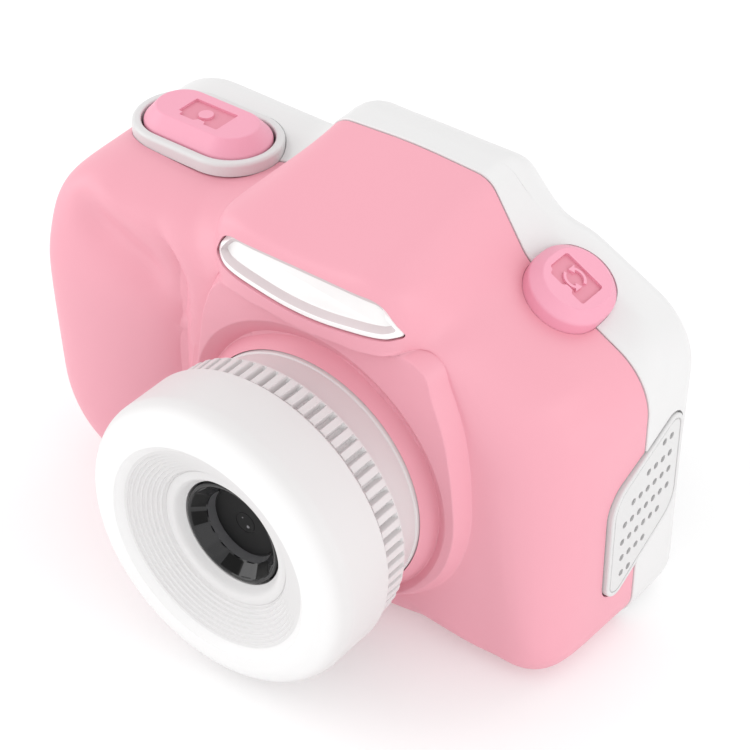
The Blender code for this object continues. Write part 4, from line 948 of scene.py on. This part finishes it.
def turning_arrow(radius, width, start):
    """Outline of a round arrow over a third of a turn."""
    half = width / 2
    outer = arc((0, 0), radius + half, start, start + 112, 16)
    inner = arc((0, 0), radius - half, start + 112, start, 16)
    a = math.radians(start + 112)
    tip = math.radians(start + 150)
    head = [((radius + 1.7 * width) * math.cos(a), (radius + 1.7 * width) * math.sin(a)),
            (radius * math.cos(tip), radius * math.sin(tip)),
            ((radius - 1.7 * width) * math.cos(a), (radius - 1.7 * width) * math.sin(a))]
    return outer + head + inner


def push_button(name, length, width, path, frame_, turn, stem, marks):
    """A button on a stem, with pictograms cut in its crown, their floors painted a deeper pink as shade.
    """
    cap = lofted(name + "_cap", section_rings(length, width, path, frame_, turn), False)
    combine(cap, [slab(name + "_stem", [circle(0.0015, 32)], *stem, frame_)], "UNION")
    crown = path[-1][1]
    floor = crown - 0.0004
    combine(cap, [slab("mark", marks, floor, crown + 0.0014, frame_)], "DIFFERENCE")
    body = name + "_button"
    dress(cap, 32, "pink_button", body, "pink_button", body)
    inverse = frame_.inverted()
    # Painted shade: the pictogram floors get the darker pink.
    repaint(cap, "engraving_painted_shade", lambda face: abs((inverse @ face.center).z - floor) < 0.00003)


def shutter_button():
    crown = filleted(((0.0, -0.0040, 0), (0.0, 0.0017, 0.0009), (0.00205, 0.0041, 0.0005),
                      (0.0036, 0.0041, 0)), 6, False)[1:]
    flange = [(-0.0010, -0.0040), (0.0, -0.0040)]
    inner = [(0.0026, 0.0025), (0.0011, 0.0008), (0.0011, -0.0052), (-0.0010, -0.0052)]
    centre = (0.0, -0.0003)
    marks = [camera_mark(0.0084, 0.0054, centre), circle(0.00120, 40, centre)]
    push_button("shutter", 0.0225, 0.0126, inner + flange + crown, shutter_frame(), False,
                (-0.0095, 0.0031), marks)


def swap_button():
    crown = filleted(((0.0, -0.0036, 0), (0.0, 0.0028, 0.0008), (0.00160, 0.0044, 0.0004),
                      (0.0032, 0.0044, 0)), 6, False)[1:]
    flange = [(-0.00075, -0.0036), (0.0, -0.0036)]
    inner = [(0.0026, 0.0030), (0.0009, 0.0008), (0.0009, -0.0046), (-0.00075, -0.0046)]
    centre = (-0.0003, -0.0005)
    arrows = [[(x + centre[0], y + centre[1] + 0.0002) for x, y in turning_arrow(0.00160, 0.00042, start)]
              for start in (20, 200)]
    push_button("swap", 0.0145, 0.0130, inner + flange + crown, swap_frame(), True,
                (-0.0090, 0.0034), [camera_mark(0.0072, 0.0054, centre, 0.0004)] + arrows)


# ---- Speaker grille ----
def grille_holes():
    places = []
    rows = ((2, 0.0056), (4, 0.0036), (6, 0.0018), (7, 0.0008), (6, -0.0005), (4, -0.0022), (2, -0.0039))
    for i, (count, centre) in enumerate(rows):
        height = 0.0077 - 0.00315 * i
        places += [(centre + 0.0019 * (k - (count - 1) / 2), height) for k in range(count)]
    return places


def speaker_grille():
    side = side_frame()
    rim = filleted(((0.0, -0.0018, 0), (0.0, 0.0006, 0.0003), (0.0010, 0.0006, 0.0001),
                    (0.0010, 0.00035, 0.0001), (0.0013, 0.00035, 0.0001), (0.0013, 0.00055, 0.0001),
                    (0.0016, 0.00055, 0)), 3, False)
    rings = []
    for inset, height in rim:
        outline = spread(grille_outline(-0.0001 - inset * 0.72), 180)
        rings.append(laid(outline, height, side))
    plate = lofted("speaker_plate", rings, False)
    holes = [slab(f"hole_{i}", [circle(0.00058, 20, spot)], -0.0030, 0.0020, side)
             for i, spot in enumerate(grille_holes())]
    with editing(holes[0].data) as bm:
        for hole in holes[1:]:
            bm.from_mesh(hole.data)
    for hole in holes[1:]:
        bpy.data.objects.remove(hole, do_unlink=True)
    combine(plate, holes[:1], "DIFFERENCE")
    dress(plate, 30, "white_trim", "case", "white_small", "speaker_grille")


# ---- Rear ----
def display_window():
    wide, tall = screen_size()
    frame_ = rear_at("display_window")
    rings = []
    for inset, height in filleted(((0, -0.0009, 0), (0, -0.0001, 0.0002), (0.001, -0.0001, 0)), 4, False):
        outline = rounded_box(wide - 2 * inset, tall - 2 * inset, 0.0022 - inset, 10)
        rings.append(laid(outline, height, frame_))
    window = lofted("screen_window", rings, False)
    dress(window, 32, "screen", "case", "screen_glass", "display_window")


def selfie_window():
    centre = rear_middle("selfie_window")
    ring = [(0.0, 0.0015), (0.0040, 0.0015), (0.0040, 0.0003), (0.00385, 0.0), (0.0034, 0.0),
            (0.0031, 0.0002), (0.0028, 0.0006), (0.0, 0.0006)]
    window = lathed("selfie_glass", ring, 96, False, centre)
    dress(window, 30, "gloss_black", "case", "screen_glass", "selfie_window")
    dome = [(0.0, 0.00075), (0.0013, 0.00075)]
    dome += [(0.0013 * math.cos(a), 0.0006 - 0.0004 * math.sin(a)) for a in np.linspace(0.0, 1.5, 8)]
    eye = lathed("selfie_eye", dome + [(0.0, 0.00018)], 64, False, centre)
    dress(eye, 40, "lens_eye", "case", "screen_glass")


def triangle(size):
    base, half, radius = -0.6 * size, 0.85 * size, 0.0001
    return filleted(((size, 0, radius), (base, half, radius), (base, -half, radius)), 3)


def key_mark(name, frame_):
    """Plain signs: a triangle for the arrows and playback, a ring for OK, a ring and bar for power."""
    if name == "key_ok":
        return [slab("mark_a", [circle(0.0014, 40), circle(0.0011, 40)], 0.0004, 0.0010, frame_)]
    if name == "key_power":
        gap = 40
        ring = arc((0, 0), 0.00115, 90 + gap, 450 - gap, 28)
        ring += arc((0, 0), 0.0009, 450 - gap, 90 + gap, 28)
        bar = [(-0.00012, 0.0002), (0.00012, 0.0002), (0.00012, 0.0013), (-0.00012, 0.0013)]
        return [slab("mark_a", [ring], 0.0004, 0.0010, frame_),
                slab("mark_b", [bar], 0.0004, 0.0010, frame_)]
    arrow = turned(triangle(0.0009), KEY_TURNS.get(name, 0))
    return [slab("mark_a", [arrow], 0.0004, 0.0010, frame_)]


def key(name):
    frame_ = rear_frame(*key_centre(name))
    path = filleted(((0.0, -0.0021, 0), (0.0, 0.0006, 0.0004), (0.0012, 0.0006, 0)), 5, False)
    flange = [(-0.0007, -0.0032), (-0.0007, -0.0021)]
    rings = []
    for inset, height in flange + path:
        outline = spread(key_outline(name, -inset if inset < 0 else -min(inset, 0.0012) * 0.8), 96)
        rings.append(laid(outline, height, frame_))
    cap = lofted(name + "_cap", rings, False)
    combine(cap, [slab(name + "_stem", [circle(0.0010, 24)], -0.0052, -0.0023, frame_)], "UNION")
    combine(cap, key_mark(name, frame_), "DIFFERENCE")
    look, slot = ("pink_button", "pink_button") if name == "key_ok" else ("white", "white_small")
    dress(cap, 32, look, name, slot, name)


def port_door():
    """The soft door: a rounded plate with a shallow raised border and a nail notch at its free edge."""
    frame_ = door_frame()
    wide, tall = DOOR_SIZE
    path = filleted(((0.0, -0.0017, 0.0002), (0.0, 0.0, 0.0004), (0.0010, 0.0, 0.0001),
                     (0.0012, -0.00015, 0.0001), (0.0020, -0.00015, 0)), 4, False)
    rings = []
    for inset, height in path:
        outline = rounded_box(wide - 2 * inset, tall - 2 * inset, max(0.0014 - inset, 0.0003), 8)
        rings.append(laid(outline, height, frame_))
    door = lofted("socket_door", rings, False)
    notch = slab("notch", [rounded_box(0.0012, 0.0060, 0.0005, 6, (wide / 2 - 0.0002, 0.0))],
                 -0.0007, 0.0010, frame_)
    combine(door, [notch], "DIFFERENCE")
    dress(door, 32, "pink_rubber", "port_door", "pink_door", "port_door")


def case_screw(node):
    centre = rear_middle(node)
    length = centre.y - box(node)[0].y
    profile = [(0.0, 0.0), (0.0013, 0.0)]
    profile += [(0.0018 - 0.0005 * (1 - math.sin(a)), 0.0005 * (1 - math.cos(a)))
                for a in np.linspace(0.6, 1.5, 5)]
    profile += [(0.0018, 0.0006), (0.0017, 0.0013), (0.00085, 0.0013)]
    turns = int((length - 0.0025) / 0.0007)
    for i in range(turns):
        at = 0.0014 + 0.0007 * i
        profile += [(0.00068, at + 0.0002), (0.00085, at + 0.0005)]
    profile += [(0.0006, length - 0.0004), (0.0003, length), (0.0, length)]
    screw = lathed(node.removeprefix("case_"), profile, 40, False, centre)
    frame_ = facing("rear", centre)
    cross = [slab(f"cross_{k}", [rounded_box(*size, 0.0001, 2)], -0.0008, 0.0010, frame_)
             for k, size in enumerate(((0.0019, 0.00042), (0.00042, 0.0019)))]
    combine(screw, cross, "DIFFERENCE")
    dress(screw, 30, "screw", "case", "screw_steel", node)


# ---- Stage ----
def plain(name, colour, roughness, glow):
    material = shade(name, colour, roughness, grain=0.0, mottle=0.0)
    put(material.node_tree.nodes["Principled BSDF"], Emission_Color=(1.0, 1.0, 1.0, 1.0),
        Emission_Strength=glow)
    return material


def area_light(name, place_, target, size, power):
    light = bpy.data.lights.new(name, "AREA")
    light.shape = "SQUARE"
    light.size = size
    light.energy = power
    obj = place(name, light)
    obj.location = place_
    obj.rotation_euler = (Vector(target) - Vector(place_)).to_track_quat("-Z", "Y").to_euler()


def stage():
    mesh = bpy.data.meshes.new("floor")
    with editing(mesh) as bm:
        bmesh.ops.create_grid(bm, x_segments=8, y_segments=8, size=1.6)
        bmesh.ops.translate(bm, verts=bm.verts, vec=(0.0, 0.0, -0.0002))
    floor = place("floor", mesh)
    floor.data.materials.append(plain("pale_floor", (0.72, 0.72, 0.72), 0.9, 0.26))
    world = bpy.data.worlds.new("studio")
    bpy.context.scene.world = world
    world.use_nodes = True
    put(world.node_tree.nodes["Background"], Color=(1.0, 1.0, 1.0, 1.0), Strength=0.95)
    aim = (0.0, -0.01, 0.03)
    for name, place_, power in (("right_softbox", (0.62, 0.0, 0.06), 0.68),
                                ("high_right_softbox", (0.55, -0.12, 0.34), 0.38),
                                ("left_softbox", (-0.50, -0.28, 0.30), 1.26),
                                ("rear_softbox", (0.10, 0.55, 0.50), 0.60),
                                ("front_right_softbox", (0.38, -0.48, 0.22), 0.30)):
        area_light(name, place_, aim, 0.5, power)
    bpy.context.scene.view_settings.view_transform = "Standard"
    bpy.context.scene.view_settings.look = "None"
    camera = bpy.data.cameras.new("camera")
    camera.lens = 109.2
    camera.sensor_width = 36.0
    camera.clip_start = 0.01
    view = place("camera", camera)
    view.location = (0.1659, -0.2195, 0.2444)
    view.rotation_euler = (math.radians(90.0 - 37.86), 0.0, math.radians(37.74))
    bpy.context.scene.camera = view


# ---- CAD nodes that keep their shape ----
KEPT = {
    "black_plastic": ("camera_module", "display_module", "selfie_module", "shutter_switch", "swap_switch",
                      "memory_card"),
    "steel": ("speaker_driver", "usb_socket", "card_socket", "microphone"),
    "board": ("main_board", "key_board"),
    "flex": ("camera_flex", "display_flex"),
    "white": ("shutter_plunger", "swap_plunger"),
    "white_board": ("flash_led_board",),
    "foil": ("battery",),
    "red_wire": ("battery_cable",),
    "black_wire": ("speaker_cable",),
}
for kept_look, kept_nodes in KEPT.items():
    for kept_node in kept_nodes:
        for material_slot in frame["nodes"][kept_node].material_slots:
            material_slot.material = LOOK[kept_look]

for make in (front_cover, rear_cover, lens_barrel, focus_ring, lens_collar, lens_bezel, lens_glass,
             flash_window, shutter_bezel, shutter_button, swap_button, speaker_grille, display_window,
             selfie_window, port_door):
    make()
for key_node in KEYS:
    key(key_node)
for screw_node in SCREWS:
    case_screw(screw_node)
stage()
